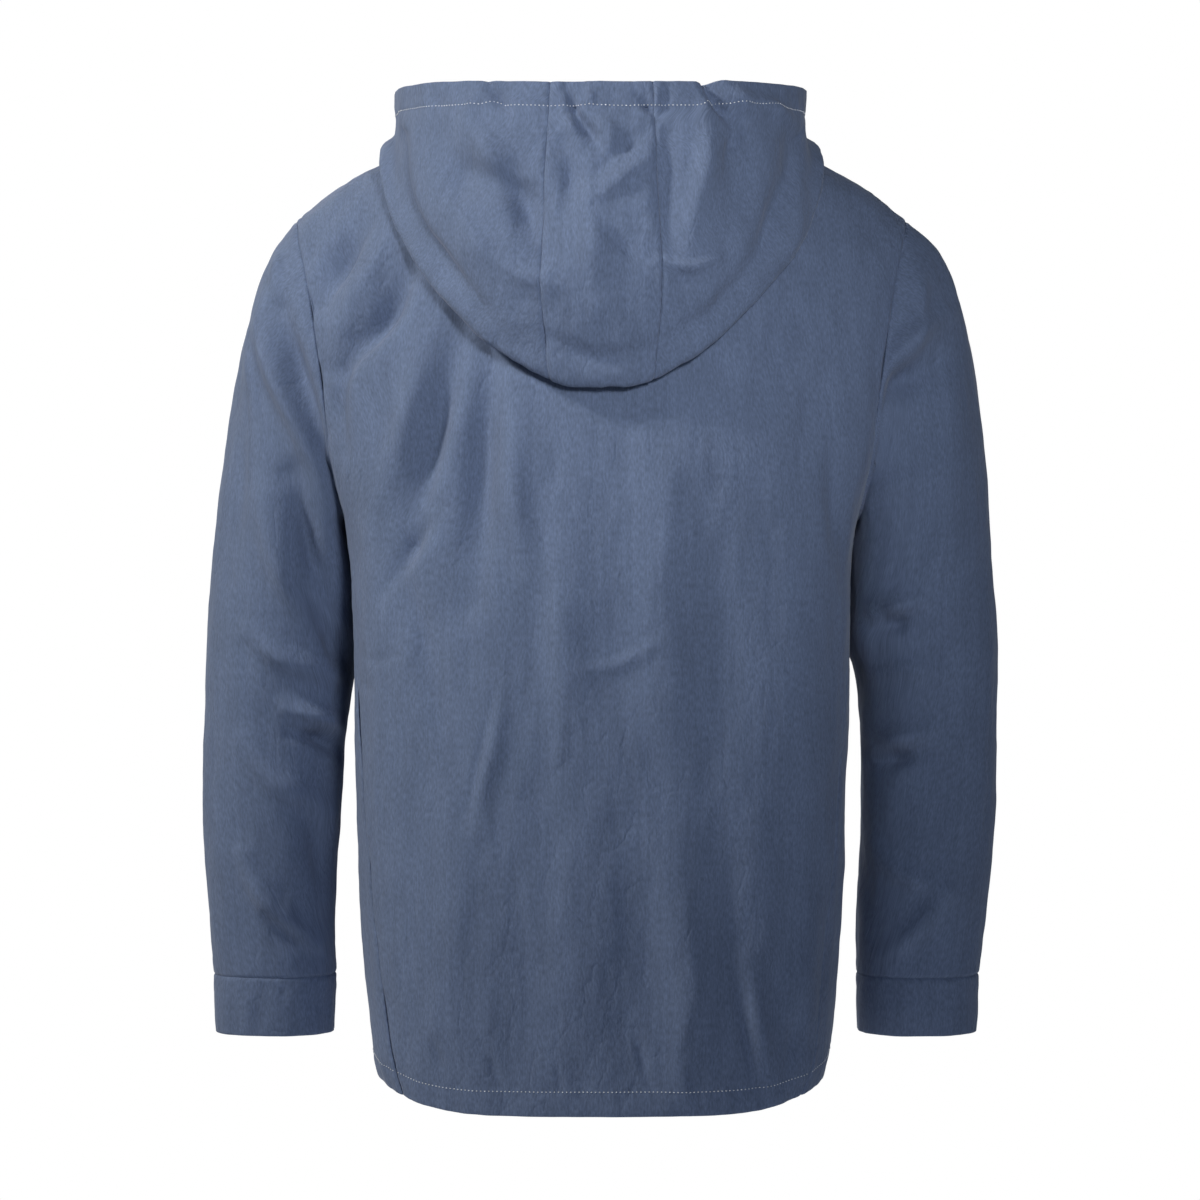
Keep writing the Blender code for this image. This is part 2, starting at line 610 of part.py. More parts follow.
def held_back(piece, row, column, slant):
    """How a sewn point moves into its own piece to leave half the seam gap."""
    grid = piece.grid
    last_row, last_column = len(grid) - 1, len(grid[0]) - 1
    shift = Vector()
    for edge, here, inner, along in (
            ("low", row == 0, (1, column), (row, 1)),
            ("high", row == last_row, (last_row - 1, column), (row, 1)),
            ("left", column == 0, (row, 1), (1, column)),
            ("right", column == last_column, (row, last_column - 1), (1, column))):
        if not here or edge not in piece.sewn:
            continue
        inward = grid[inner[0]][inner[1]] - grid[row][column]
        if along[1] == 1:
            after = (column + 1) % last_column if piece.closed else min(column + 1, last_column)
            before = (column - 1) % last_column if piece.closed else max(column - 1, 0)
            run = grid[row][after] - grid[row][before]
        else:
            run = grid[min(row + 1, last_row)][column] - grid[max(row - 1, 0)][column]
        away = slant.cross(run).normalized()
        shift += away * math.copysign(SEAM_GAP / 2, away.dot(inward))
    return shift


def material(name, colour, roughness, metallic=0.0):
    paint = bpy.data.materials.new(name)
    paint.use_nodes = True
    shader = paint.node_tree.nodes["Principled BSDF"]
    shader.inputs["Base Color"].default_value = (*colour, 1.0)
    shader.inputs["Roughness"].default_value = roughness
    shader.inputs["Metallic"].default_value = metallic
    return paint


def add_object(name, shape, paint):
    mesh = bpy.data.meshes.new(name)
    shape.to_mesh(mesh)
    shape.free()
    mesh.materials.append(paint)
    thing = bpy.data.objects.new(name, mesh)
    bpy.context.scene.collection.objects.link(thing)
    return thing


def sheet(shape, places, closed):
    """A grid of faces over rows of places, both sheets of a wall split along the same diagonals.

    A closed one is welded along its first and last column.
    """
    rows, columns = len(places), len(places[0])
    made = bmesh.ops.create_grid(shape, x_segments=columns - 1, y_segments=rows - 1, size=0.5)
    verts = sorted(made["verts"], key=lambda vert: (round(vert.co.y, 4), round(vert.co.x, 4)))
    for index, vert in enumerate(verts):
        vert.co = places[index // columns][index % columns]
    faces = list({face for vert in verts for face in vert.link_faces})
    bmesh.ops.triangulate(shape, faces=faces, quad_method="FIXED")
    if closed:
        bmesh.ops.remove_doubles(shape, verts=verts, dist=1e-7)


def wall_object(piece, shared, paint, thickness=WALL):
    """The piece's wall: an outer and an inner sheet, joined round every open edge."""
    outer, inner = [], []
    for row in range(len(piece.grid)):
        outer.append([])
        inner.append([])
        for column in range(len(piece.grid[0])):
            point, own = piece.grid[row][column], piece.normals[row][column]
            slant = slant_of(shared[place_key(point)])
            lean = max(slant.dot(own), LEAST_LEAN)
            reach = slant * (thickness / 2 / lean)
            shift = held_back(piece, row, column, slant)
            outer[-1].append(point + shift + reach)
            inner[-1].append(point + shift - reach)
    straightened(outer[0], piece.marks)
    straightened(inner[0], piece.marks)
    shape = bmesh.new()
    sheet(shape, outer, piece.closed)
    sheet(shape, inner, piece.closed)
    rim = [edge for edge in shape.edges if edge.is_boundary]
    ends = [rim]
    if piece.closed:
        ends = []
        for row in (0, -1):
            places = {place_key(place) for place in outer[row] + inner[row]}
            ends.append([edge for edge in rim if place_key(edge.verts[0].co) in places])
    for end in ends:
        bmesh.ops.bridge_loops(shape, edges=end)
    bmesh.ops.triangulate(shape, faces=[face for face in shape.faces if len(face.verts) > 3])
    bmesh.ops.recalc_face_normals(shape, faces=shape.faces[:])
    thing = add_object(piece.name, shape, paint)
    thing.data.shade_smooth()
    return thing


# ---- zip ----
def zip_line(height):
    """How deep the front's middle surface lies at the zip, at a height."""
    column = [row[0] for row in front_grid(1)]
    for low, high in zip(column, column[1:]):
        if low.z <= height <= high.z:
            return low.lerp(high, (height - low.z) / (high.z - low.z)).y
    return column[-1].y if height > column[0].z else column[0].y


def zip_frame(height):
    """At a height on the zip: across to +X, up along the zip and out of the chest."""
    rise = zip_line(height + FRAME_REACH) - zip_line(height - FRAME_REACH)
    up = Vector((0.0, rise, 2 * FRAME_REACH)).normalized()
    across = Vector((1.0, 0.0, 0.0))
    out = across.cross(up)
    frame = Matrix((across, up, out)).transposed().to_4x4()
    frame.translation = Vector((0.0, zip_line(height), height))
    return frame


def front_at(front, height, x):
    """A point of the front's folded middle surface near the zip, and the way it faces."""
    rows = front.grid
    low = 0
    while low < len(rows) - 2 and rows[low + 1][0].z < height:
        low += 1
    up = (height - rows[low][0].z) / (rows[low + 1][0].z - rows[low][0].z)
    out = (x - ZIP_HALF) / (rows[low][1].x - ZIP_HALF)
    corners = [[table[row][column] for row in (low, low + 1) for column in (0, 1)]
               for table in (rows, front.normals)]
    return [a.lerp(b, out).lerp(c.lerp(d, out), up) for a, b, c, d in corners]


def tape_heights(front, slider_height, top):
    """The heights of the front's own rows, and a few more where the tapes part at the slider."""
    foot = HEM_HEIGHT + ZIP_FOOT_MARGIN
    set_places = [foot, slider_height, slider_height + SLIDER_LENGTH / 4, top]
    rows = [row[0].z for row in front.grid if foot < row[0].z < top]
    return sorted(set_places + [row for row in rows
                                if all(abs(row - place) > TAPE_ROWS_APART for place in set_places)])


def tape_grid(front, hand, heights, slider_height):
    """A tape behind one front edge; above the slider's middle the two tapes part round its post."""
    behind = WALL / 2 + TAPE_GAP + TAPE_WALL / 2
    rows = []
    for height in heights:
        parted = height > slider_height
        edge, edge_facing = front_at(front, height, ZIP_HALF)
        sewn, sewn_facing = front_at(front, height, TAPE_HALF)
        inner = Vector((POST_HALF + 2 * SEAM_GAP if parted else TAPE_PART, edge.y, edge.z))
        places = [inner - edge_facing * behind, edge - edge_facing * behind,
                  sewn - sewn_facing * (behind + (TOP_EASE if parted else 0.0))]
        rows.append([mirrored(place, hand) for place in places])
    return rows


def block(shape, low, high):
    """A box between two corners, in the slider's frame."""
    centre = [(a + b) / 2 for a, b in zip(low, high)]
    size = [b - a for a, b in zip(low, high)]
    bmesh.ops.create_cube(shape, size=1.0, matrix=Matrix.Translation(centre) @ Matrix.Diagonal((*size, 1.0)))


def block_object(name, low, high, frame, paint):
    shape = bmesh.new()
    block(shape, low, high)
    bmesh.ops.transform(shape, matrix=frame, verts=shape.verts)
    return add_object(name, shape, paint)


def guide(thing):
    thing.hide_render = True
    thing.display_type = "WIRE"
    return thing


def boolean(thing, other, operation):
    change = thing.modifiers.new(operation.lower(), "BOOLEAN")
    change.operation = operation
    change.solver = "EXACT"
    change.object = guide(other)


def outline_plate(half, bottom, top, bottom_half, low, high, frame):
    """A plate between two levels, tapering down to a rounded end."""
    shape = bmesh.new()
    points = [(half, top), (-half, top)]
    for turn_step in range(7):
        angle = math.radians(180 + 180 * turn_step / 6)
        points.append((bottom_half * math.cos(angle), bottom + bottom_half + bottom_half * math.sin(angle)))
    face = shape.faces.new([shape.verts.new((x, y, low)) for x, y in points])
    raised = bmesh.ops.extrude_face_region(shape, geom=[face])
    lifted = [item for item in raised["geom"] if isinstance(item, bmesh.types.BMVert)]
    bmesh.ops.translate(shape, verts=lifted, vec=(0.0, 0.0, high - low))
    bmesh.ops.recalc_face_normals(shape, faces=shape.faces[:])
    bmesh.ops.transform(shape, matrix=frame, verts=shape.verts)
    return shape


def bar_across(section, half, frame):
    """A bar along the frame's +X with this section of places up the zip and out of the chest."""
    shape = bmesh.new()
    side = shape.faces.new([shape.verts.new((-half, up, out)) for up, out in section])
    raised = bmesh.ops.extrude_face_region(shape, geom=[side])
    lifted = [item for item in raised["geom"] if isinstance(item, bmesh.types.BMVert)]
    bmesh.ops.translate(shape, verts=lifted, vec=(2 * half, 0.0, 0.0))
    bmesh.ops.recalc_face_normals(shape, faces=shape.faces[:])
    bmesh.ops.transform(shape, matrix=frame, verts=shape.verts)
    return shape


def zip_slider(frame, paint):
    """Front and back plates joined by a post between the tapes, and the lug that holds the pull."""
    face = -(WALL / 2 + TAPE_GAP)
    front_low = face + PLATE_LIFT
    front_high = front_low + PLATE
    back_high = face - TAPE_WALL - 2 * SEAM_GAP
    half = SLIDER_LENGTH / 2
    slider = add_object("zip_slider", outline_plate(SLIDER_HALF, -half, half, SLIDER_HALF * SLIDER_TAPER,
                                                    front_low, front_high, frame), paint)
    sunk = PLATE / 2
    back_plate = outline_plate(SLIDER_HALF, -half, half, SLIDER_HALF * SLIDER_TAPER,
                               back_high - PLATE, back_high, frame)
    boolean(slider, add_object("slider_back_plate", back_plate, paint), "UNION")
    boolean(slider, block_object(
        "slider_post", (-POST_HALF, half - POST_MARGIN - POST_LENGTH, back_high - sunk),
        (POST_HALF, half - POST_MARGIN, front_low + sunk), frame, paint), "UNION")
    root, under = front_high - sunk, front_high + LUG_HEIGHT
    lug = [(LUG_LOW, root), (LUG_LOW, under + LUG_BAR), (LUG_TOP, under + LUG_BAR), (LUG_TOP, root),
           (LUG_TOP - LUG_BAR, root), (LUG_TOP - LUG_BAR, under), (LUG_LOW + LUG_BAR, under),
           (LUG_LOW + LUG_BAR, root)]
    boolean(slider, add_object("slider_lug", bar_across(lug, LUG_HALF, frame), paint), "UNION")
    return front_high


def zip_pull(frame, level, paint):
    """The flat tab that hangs from the lug, its window round the lug's lower leg.

    It turns about its top bar, which is its object's origin.
    """
    bar = PULL_WALL / 2
    low, high = level - bar, level + bar
    top = PIVOT_UP + bar
    pull = add_object("zip_pull", outline_plate(PULL_HALF, top - PULL_LENGTH, top, PULL_HALF * PULL_TAPER,
                                                low, high, frame), paint)
    boolean(pull, block_object("pull_window", (-PULL_WINDOW, top - PULL_WALL - WINDOW_LENGTH, low - bar),
                               (PULL_WINDOW, top - PULL_WALL, high + bar), frame, paint), "DIFFERENCE")
    hinge = frame @ Vector((0.0, PIVOT_UP, level))
    pull.data.transform(Matrix.Translation(-hinge))
    pull.location = hinge
    for cutter in [change.object for change in pull.modifiers]:
        cutter.location = Vector()


def zip_box(frame, paint):
    """The retainer at the foot of the zip: a channel that the two tape ends stand in."""
    face = -(WALL / 2 + TAPE_GAP)
    front, back = face + BOX_ROOM, face - TAPE_WALL - BOX_ROOM
    floor = -BOX_ROOM
    channel = [(BOX_HEIGHT, front + BOX_WALL), (BOX_HEIGHT, front), (floor, front), (floor, back),
               (BOX_HEIGHT, back), (BOX_HEIGHT, back - BOX_WALL), (floor - BOX_WALL, back - BOX_WALL),
               (floor - BOX_WALL, front + BOX_WALL)]
    return add_object("zip_box", bar_across(channel, BOX_HALF, frame), paint)


# ---- the garment ----
for old in list(bpy.data.objects):
    bpy.data.objects.remove(old, do_unlink=True)

BODY = body_surface()
PIECES = [
    Cloth("back", back_grid(), BODY_FOLDS, sewn=("left", "right", "high")),
    Cloth("front_left", front_grid(1), BODY_FOLDS, sewn=("right", "high")),
    Cloth("front_right", front_grid(-1), BODY_FOLDS, sewn=("right", "high")),
    Cloth("hood_center", settled(hood_center_grid(BODY), BODY), HOOD_FOLDS, sewn=("low", "left", "right"),
          marks=neck_marks((CENTRE_SPLIT,) * 2 * CENTRE_PANEL_COLUMN)),
]
for word, hand in (("left", 1), ("right", -1)):
    PIECES.append(Cloth("sleeve_" + word, settled(sleeve_grid(hand), BODY), SLEEVE_FOLDS, closed=True,
                        sewn=("low", "high")))
    PIECES.append(Cloth("cuff_" + word, cuff_grid(hand), closed=True, sewn=("low",)))
    PIECES.append(Cloth("hood_" + word, settled(hood_side_grid(hand, BODY), BODY), HOOD_FOLDS,
                        sewn=("low", "left"), marks=neck_marks(SIDE_SPLITS)))
UNFOLDED = meeting_points(PIECES)
for piece in PIECES:
    piece.fold_cloth(UNFOLDED)

NECK_FRONT = neck_point(2 * NECK_COLUMNS)
SLIDER_HEIGHT = NECK_FRONT.z - SLIDER_DROP
FRONT_LEFT = PIECES[1]
HEIGHTS = tape_heights(FRONT_LEFT, SLIDER_HEIGHT, NECK_FRONT.z - ZIP_TOP_MARGIN)
TAPES = [Cloth("zip_tape_" + word, tape_grid(FRONT_LEFT, hand, HEIGHTS, SLIDER_HEIGHT))
         for word, hand in (("left", 1), ("right", -1))]

CLOTH_BLUE = (0.095, 0.130, 0.200)
TAPE_BLUE = (0.050, 0.070, 0.115)
METAL_GREY = (0.35, 0.36, 0.38)
SHARED = meeting_points(PIECES)
for piece in PIECES:
    wall_object(piece, SHARED, material(piece.name + "_cloth", CLOTH_BLUE, 0.9))
for piece in TAPES:
    wall_object(piece, meeting_points([piece]), material(piece.name + "_tape", TAPE_BLUE, 0.8), TAPE_WALL)
METAL = material("zip_metal", METAL_GREY, 0.35, 1.0)
SLIDER_FRAME = zip_frame(SLIDER_HEIGHT)
FRONT_PLATE = zip_slider(SLIDER_FRAME, METAL)
zip_pull(SLIDER_FRAME, FRONT_PLATE + PULL_LIFT, material("zip_pull_metal", METAL_GREY, 0.35, 1.0))
zip_box(zip_frame(HEM_HEIGHT + ZIP_FOOT_MARGIN), material("zip_box_metal", METAL_GREY, 0.4, 1.0))
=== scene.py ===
"""Zip-up hoodie in brushed cloth, filled out as worn, with nobody in it: its looks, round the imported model.

Metres, +Z up, +Y behind the wearer, +X on the wearer's left.  Every cloth piece is a thin sheet on the outer
face of its solid's wall, worked out from the garment's sizes, with its creases, seams and hems.
"""
import math
from collections import namedtuple

import bmesh
import bpy
import numpy as np
from mathutils import Matrix, Vector, noise
from mathutils.bvhtree import BVHTree


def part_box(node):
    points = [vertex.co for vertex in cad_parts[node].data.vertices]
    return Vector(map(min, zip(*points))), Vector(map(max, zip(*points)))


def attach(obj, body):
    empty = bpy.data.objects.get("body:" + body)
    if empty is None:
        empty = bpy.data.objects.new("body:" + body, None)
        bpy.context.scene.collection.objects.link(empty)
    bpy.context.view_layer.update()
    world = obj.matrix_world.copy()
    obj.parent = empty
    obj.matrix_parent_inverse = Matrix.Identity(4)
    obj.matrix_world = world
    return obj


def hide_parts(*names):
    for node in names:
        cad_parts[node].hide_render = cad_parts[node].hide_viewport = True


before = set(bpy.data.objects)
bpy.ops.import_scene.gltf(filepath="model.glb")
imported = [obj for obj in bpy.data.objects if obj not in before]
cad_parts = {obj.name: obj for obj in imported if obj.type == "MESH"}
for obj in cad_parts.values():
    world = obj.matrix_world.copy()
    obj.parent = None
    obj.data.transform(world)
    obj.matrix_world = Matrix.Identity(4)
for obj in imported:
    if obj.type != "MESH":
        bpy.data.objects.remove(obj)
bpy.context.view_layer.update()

# ---- sizes of the garment, as its solids have them ----
WALL = 0.0024                 # thickness of a solid's wall
CLOTH = 0.0011                # thickness of the cloth itself
HEM_HEIGHT = -0.713
HEM_RISE = 0.022              # how much higher the hem is at the sides
HEM_CURVE = 6                 # power with which it rises to them
UNDERARM_HEIGHT = -0.265
SHOULDER_TIP_HEIGHT = -0.0325
SHOULDER_HALF = 0.2375
NECK_HALF = 0.0895
NECK_REACH = {1: 0.066, -1: 0.098}     # neckline behind the origin, 1, and in front of it, -1
NECK_POWER = {1: 2.0, -1: 1.5}
SIDE_DEPTH = 0.018            # where the sides lie, behind the origin
RIDGE_DEPTH = -0.010          # where the line over the shoulders lies
SECTION_POWER = 2.6           # of the superellipses across the body
SHOULDER_POWER = {1: 2.15, -1: 1.9}
ARMHOLE_OPENING, ARMHOLE_PACE, ARMHOLE_CURVE = 0.075, 1.6, 1.2
HOOD_CLEARANCE = 0.0050       # from the body to the hood that lies on it
SLEEVE_CLEARANCE = 0.0024     # from the body to the sleeves beside it
FIRST_ROW = 0.65              # share of the clearance at the first row past a sewn edge
EDGE_SLANT = 0.75             # a point whose distance is less straight out than this is past an edge
ZIP_HALF = 0.0065
NECK_COLUMNS, SHOULDER_COLUMNS = 4, 8
LOWER_ROWS, UPPER_ROWS = 15, 10
SLEEVE_ROWS, HOOD_ROWS = 21, 22
CENTRE_PANEL_COLUMN = 2
SIDE_COLUMN = NECK_COLUMNS + SHOULDER_COLUMNS
TOP_ROW = LOWER_ROWS + UPPER_ROWS
BACK, FRONT = 1, -1

Edge = namedtuple("Edge", "height half_width")
TORSO_EDGE = (                # side seam, then armhole
    Edge(-0.713, 0.1655),
    Edge(-0.700, 0.1690),
    Edge(-0.686, 0.1730),
    Edge(-0.665, 0.1765),
    Edge(-0.620, 0.1805),
    Edge(-0.540, 0.1855),
    Edge(-0.450, 0.1885),
    Edge(-0.380, 0.1905),
    Edge(-0.330, 0.1915),
    Edge(-0.295, 0.1930),
    Edge(-0.265, 0.1975),
    Edge(-0.225, 0.2050),
    Edge(-0.180, 0.2110),
    Edge(-0.130, 0.2180),
    Edge(-0.080, 0.2265),
    Edge(-0.0325, 0.2375),
)

Depth = namedtuple("Depth", "height back front")
TORSO_DEPTH = (               # centre back and centre front, from the side seam
    Depth(-0.713, 0.119, 0.140),
    Depth(-0.600, 0.121, 0.146),
    Depth(-0.480, 0.120, 0.150),
    Depth(-0.370, 0.120, 0.152),
    Depth(-0.265, 0.121, 0.148),
)

Ridge = namedtuple("Ridge", "half_width height")
SHOULDER_RIDGE = (            # the line over the shoulders, from the neck's middle to the tip
    Ridge(0.0000, 0.056),
    Ridge(0.0450, 0.052),
    Ridge(0.0895, 0.042),
    Ridge(0.1300, 0.029),
    Ridge(0.1700, 0.012),
    Ridge(0.2060, -0.008),
    Ridge(0.2375, -0.0325),
)

Sleeve = namedtuple("Sleeve", "step outer_x outer_z inner_x inner_z middle_y half_depth")
SLEEVE_SECTIONS = (           # from the armhole to the cuff seam
    Sleeve(0.00, 0.2375, -0.0325, 0.1975, -0.265, -0.002, 0.058),
    Sleeve(0.04, 0.2490, -0.0445, 0.2035, -0.265, -0.004, 0.062),
    Sleeve(0.08, 0.2590, -0.0570, 0.2045, -0.269, -0.007, 0.065),
    Sleeve(0.14, 0.2710, -0.0830, 0.2025, -0.278, -0.012, 0.067),
    Sleeve(0.21, 0.2825, -0.1240, 0.1990, -0.291, -0.017, 0.069),
    Sleeve(0.30, 0.2920, -0.1780, 0.1955, -0.309, -0.021, 0.070),
    Sleeve(0.40, 0.3000, -0.2400, 0.1945, -0.333, -0.025, 0.069),
    Sleeve(0.50, 0.3055, -0.3050, 0.1950, -0.364, -0.028, 0.067),
    Sleeve(0.60, 0.3098, -0.3720, 0.1985, -0.402, -0.031, 0.064),
    Sleeve(0.70, 0.3108, -0.4360, 0.2030, -0.448, -0.035, 0.061),
    Sleeve(0.80, 0.3100, -0.5000, 0.2060, -0.503, -0.039, 0.058),
    Sleeve(0.90, 0.3065, -0.5620, 0.2068, -0.562, -0.043, 0.055),
    Sleeve(1.00, 0.3010, -0.6220, 0.2068, -0.622, -0.046, 0.052),
)
Sway = namedtuple("Sway", "step shift")
SLEEVE_SWAY = (               # how far both sleeves hang to the wearer's left
    Sway(0.00, 0.0000),
    Sway(0.06, -0.0030),
    Sway(0.15, -0.0042),
    Sway(0.30, -0.0036),
    Sway(0.45, -0.0015),
    Sway(0.60, 0.0000),
    Sway(1.00, 0.0040),
)
SWAY_BELOW = (0.20, 0.40)     # steps between which the sleeves' inner sides start to sway too
SLEEVE_POWER = 2.25           # of the superellipses across a sleeve
CAP_END = 0.45                # step down a sleeve at which the armhole's form has faded from it
CUFF_DEPTH, CUFF_TAPER, CUFF_LEAN = 0.045, 0.965, -0.003

Hood = namedtuple("Hood", "column angle stand crest_out crest_up inner_reach inner_z "
                          "fold_reach fold_z belly_reach belly_z rim_reach rim_z")
HOOD_SECTIONS = (             # a lengthwise cut through the lowered hood at each neck column
    Hood(0.0, 0, 0.010, 0.016, 0.018, 0.1330, -0.105, 0.153, -0.167, 0.172, -0.082, 0.146, 0.058),
    Hood(2.0, 15, 0.010, 0.016, 0.018, 0.1335, -0.100, 0.154, -0.161, 0.174, -0.080, 0.147, 0.058),
    Hood(2.8, 35, 0.009, 0.016, 0.016, 0.1420, -0.070, 0.165, -0.126, 0.180, -0.056, 0.157, 0.060),
    Hood(3.5, 58, 0.008, 0.016, 0.012, 0.1480, -0.015, 0.174, -0.062, 0.176, -0.018, 0.163, 0.063),
    Hood(4.2, 80, 0.008, 0.016, 0.010, 0.1400, 0.028, 0.168, 0.000, 0.161, 0.030, 0.160, 0.065),
    Hood(5.0, 103, 0.008, 0.015, 0.010, 0.1290, 0.032, 0.153, 0.012, 0.155, 0.034, 0.153, 0.060),
    Hood(6.0, 130, 0.008, 0.013, 0.009, 0.1220, 0.008, 0.141, -0.010, 0.149, 0.010, 0.147, 0.036),
    Hood(7.0, 155, 0.007, 0.010, 0.009, 0.1170, -0.024, 0.127, -0.024, 0.135, -0.011, 0.137, 0.008),
    Hood(8.0, 176, 0.006, 0.006, 0.011, 0.1070, -0.040, 0.113, -0.036, 0.117, -0.027, 0.118, -0.017),
)
HOOD_ROOM = {"inner": 0.0060, "fold": 0.0095, "belly": 0.0150}
FOLD_ROUND = 0.008
STAND_LEAN = 0.001


# ---- reading the tables ----
def read(rows, at, column):
    """The smooth values of a table's column where its first column is `at`."""
    places = np.array([row[0] for row in rows], float)
    values = np.array([getattr(row, column) for row in rows], float)
    before = np.maximum(np.arange(len(rows)) - 1, 0)
    after = np.minimum(np.arange(len(rows)) + 1, len(rows) - 1)
    slopes = (values[after] - values[before]) / (places[after] - places[before])
    at = np.clip(at, places[0], places[-1])
    low = np.clip(np.searchsorted(places, at) - 1, 0, len(rows) - 2)
    span = places[low + 1] - places[low]
    part = (at - places[low]) / span
    rest = 1.0 - part
    return (values[low] * rest * rest * (1.0 + 2.0 * part) + slopes[low] * span * part * rest * rest
            + values[low + 1] * part * part * (1.0 + 2.0 * rest)
            - slopes[low + 1] * span * rest * part * part)


def partner(share, power):
    """The other coordinate of a unit superellipse."""
    return (1.0 - np.minimum(share, 1.0) ** power) ** (1.0 / power)


def turn(degrees, power):
    """A unit superellipse's two coordinates at an angle."""
    across, up = np.cos(np.radians(degrees)), np.sin(np.radians(degrees))
    size = (np.abs(across) ** power + np.abs(up) ** power) ** (-1.0 / power)
    return across * size, up * size


def places(x, y, z):
    return np.stack(np.broadcast_arrays(x, y, z), axis=-1)


# ---- middle surfaces of the walls ----
def column_share(column, side):
    """How far a column lies out from the centre line, as a share of the way to the side."""
    top = math.asin(NECK_HALF / SHOULDER_HALF)
    inner = np.sin(top * column / NECK_COLUMNS)
    if side == FRONT:
        inner = math.sin(top) * np.sin(math.pi / 2 * np.minimum(column / NECK_COLUMNS, 1.0))
    outer = np.sin(top + (math.pi / 2 - top) * (column - NECK_COLUMNS) / SHOULDER_COLUMNS)
    return np.where(column <= NECK_COLUMNS, inner, outer)


def torso(column, row, side):
    """Points of the body at grid columns and rows, on the wearer's left."""
    column, row = np.broadcast_arrays(np.asarray(column, float), np.asarray(row, float))
    inner_edge = ZIP_HALF if side == FRONT else 0.0
    depth_column = "back" if side == BACK else "front"
    share = column_share(column, side)
    shoulder_x = np.maximum(SHOULDER_HALF * share, inner_edge)
    share = (shoulder_x - inner_edge) / (SHOULDER_HALF - inner_edge)

    hem = HEM_HEIGHT + HEM_RISE * share ** HEM_CURVE
    height = hem + (UNDERARM_HEIGHT - hem) * np.minimum(row / LOWER_ROWS, 1.0)
    edge = read(TORSO_EDGE, height, "half_width")
    x = inner_edge + (edge - inner_edge) * share
    y = SIDE_DEPTH + side * read(TORSO_DEPTH, height, depth_column) * partner(x / edge, SECTION_POWER)
    lower = places(x, y, height)

    depth = read(TORSO_DEPTH, UNDERARM_HEIGHT, depth_column)
    plan = np.abs(SIDE_DEPTH + side * depth * partner(share, SECTION_POWER) - RIDGE_DEPTH)
    reach = (NECK_REACH[side] - side * RIDGE_DEPTH) * partner(shoulder_x / NECK_HALF, NECK_POWER[side])
    cut = np.minimum(reach / np.maximum(plan, 1e-6), 1.0)
    neckline = np.degrees(np.arctan2(partner(cut, SHOULDER_POWER[side]), cut))
    top = np.where(shoulder_x < NECK_HALF - 1e-6, neckline, 90.0)
    lift = top * np.clip((row - LOWER_ROWS) / UPPER_ROWS, 0.0, 1.0)
    closing, rising = turn(lift, SHOULDER_POWER[side])
    edge_height = UNDERARM_HEIGHT + (SHOULDER_TIP_HEIGHT - UNDERARM_HEIGHT) * rising
    edge = read(TORSO_EDGE, edge_height, "half_width")
    x = inner_edge + (edge - inner_edge) * share
    opening = np.sin(np.radians(np.minimum(lift * ARMHOLE_PACE, 90.0))) ** ARMHOLE_CURVE
    plan = SIDE_DEPTH + side * depth * partner(x / edge * (1.0 - ARMHOLE_OPENING * opening), SECTION_POWER)
    y = RIDGE_DEPTH + (plan - RIDGE_DEPTH) * np.maximum(closing, 0.0)
    ridge = read(SHOULDER_RIDGE, shoulder_x, "height")
    upper = places(x, y, UNDERARM_HEIGHT + (ridge - UNDERARM_HEIGHT) * rising)
    return np.where((row <= LOWER_ROWS)[..., None], lower, upper)


def armhole(index):
    """Points round the armhole, from the underarm up the back, over the shoulder and down the front."""
    index = np.asarray(index, float) % (2 * UPPER_ROWS)
    behind = torso(SIDE_COLUMN, LOWER_ROWS + np.minimum(index, UPPER_ROWS), BACK)
    before = torso(SIDE_COLUMN, LOWER_ROWS + 2 * UPPER_ROWS - np.maximum(index, UPPER_ROWS), FRONT)
    return np.where((index <= UPPER_ROWS)[..., None], behind, before)


Pinch = namedtuple("Pinch", "step left right")
SLEEVE_PINCH = (              # how far a sleeve's inner side lies out from its solid's, beside the body
    Pinch(0.00, 0.0000, 0.0000),
    Pinch(0.04, -0.0030, -0.0030),
    Pinch(0.08, -0.0042, -0.0042),
    Pinch(0.14, -0.0042, -0.0042),
    Pinch(0.21, -0.0032, -0.0032),
    Pinch(0.30, -0.0018, -0.0022),
    Pinch(0.40, -0.0012, -0.0024),
    Pinch(0.50, -0.0012, -0.0018),
    Pinch(0.54, -0.0006, 0.0030),
    Pinch(0.60, 0.0000, 0.0058),
    Pinch(0.70, 0.0000, 0.0040),
    Pinch(0.80, 0.0000, 0.0012),
    Pinch(1.00, 0.0000, 0.0000),
)


def sleeve_section(index, step):
    row = {name: read(SLEEVE_SECTIONS, step, name) for name in Sleeve._fields[1:]}
    inward, backward = turn(180.0 * index / UPPER_ROWS, SLEEVE_POWER)
    x = (row["outer_x"] + row["inner_x"]) / 2 + (row["inner_x"] - row["outer_x"]) / 2 * inward
    z = (row["outer_z"] + row["inner_z"]) / 2 + (row["inner_z"] - row["outer_z"]) / 2 * inward
    return places(x, row["middle_y"] + row["half_depth"] * backward, z)


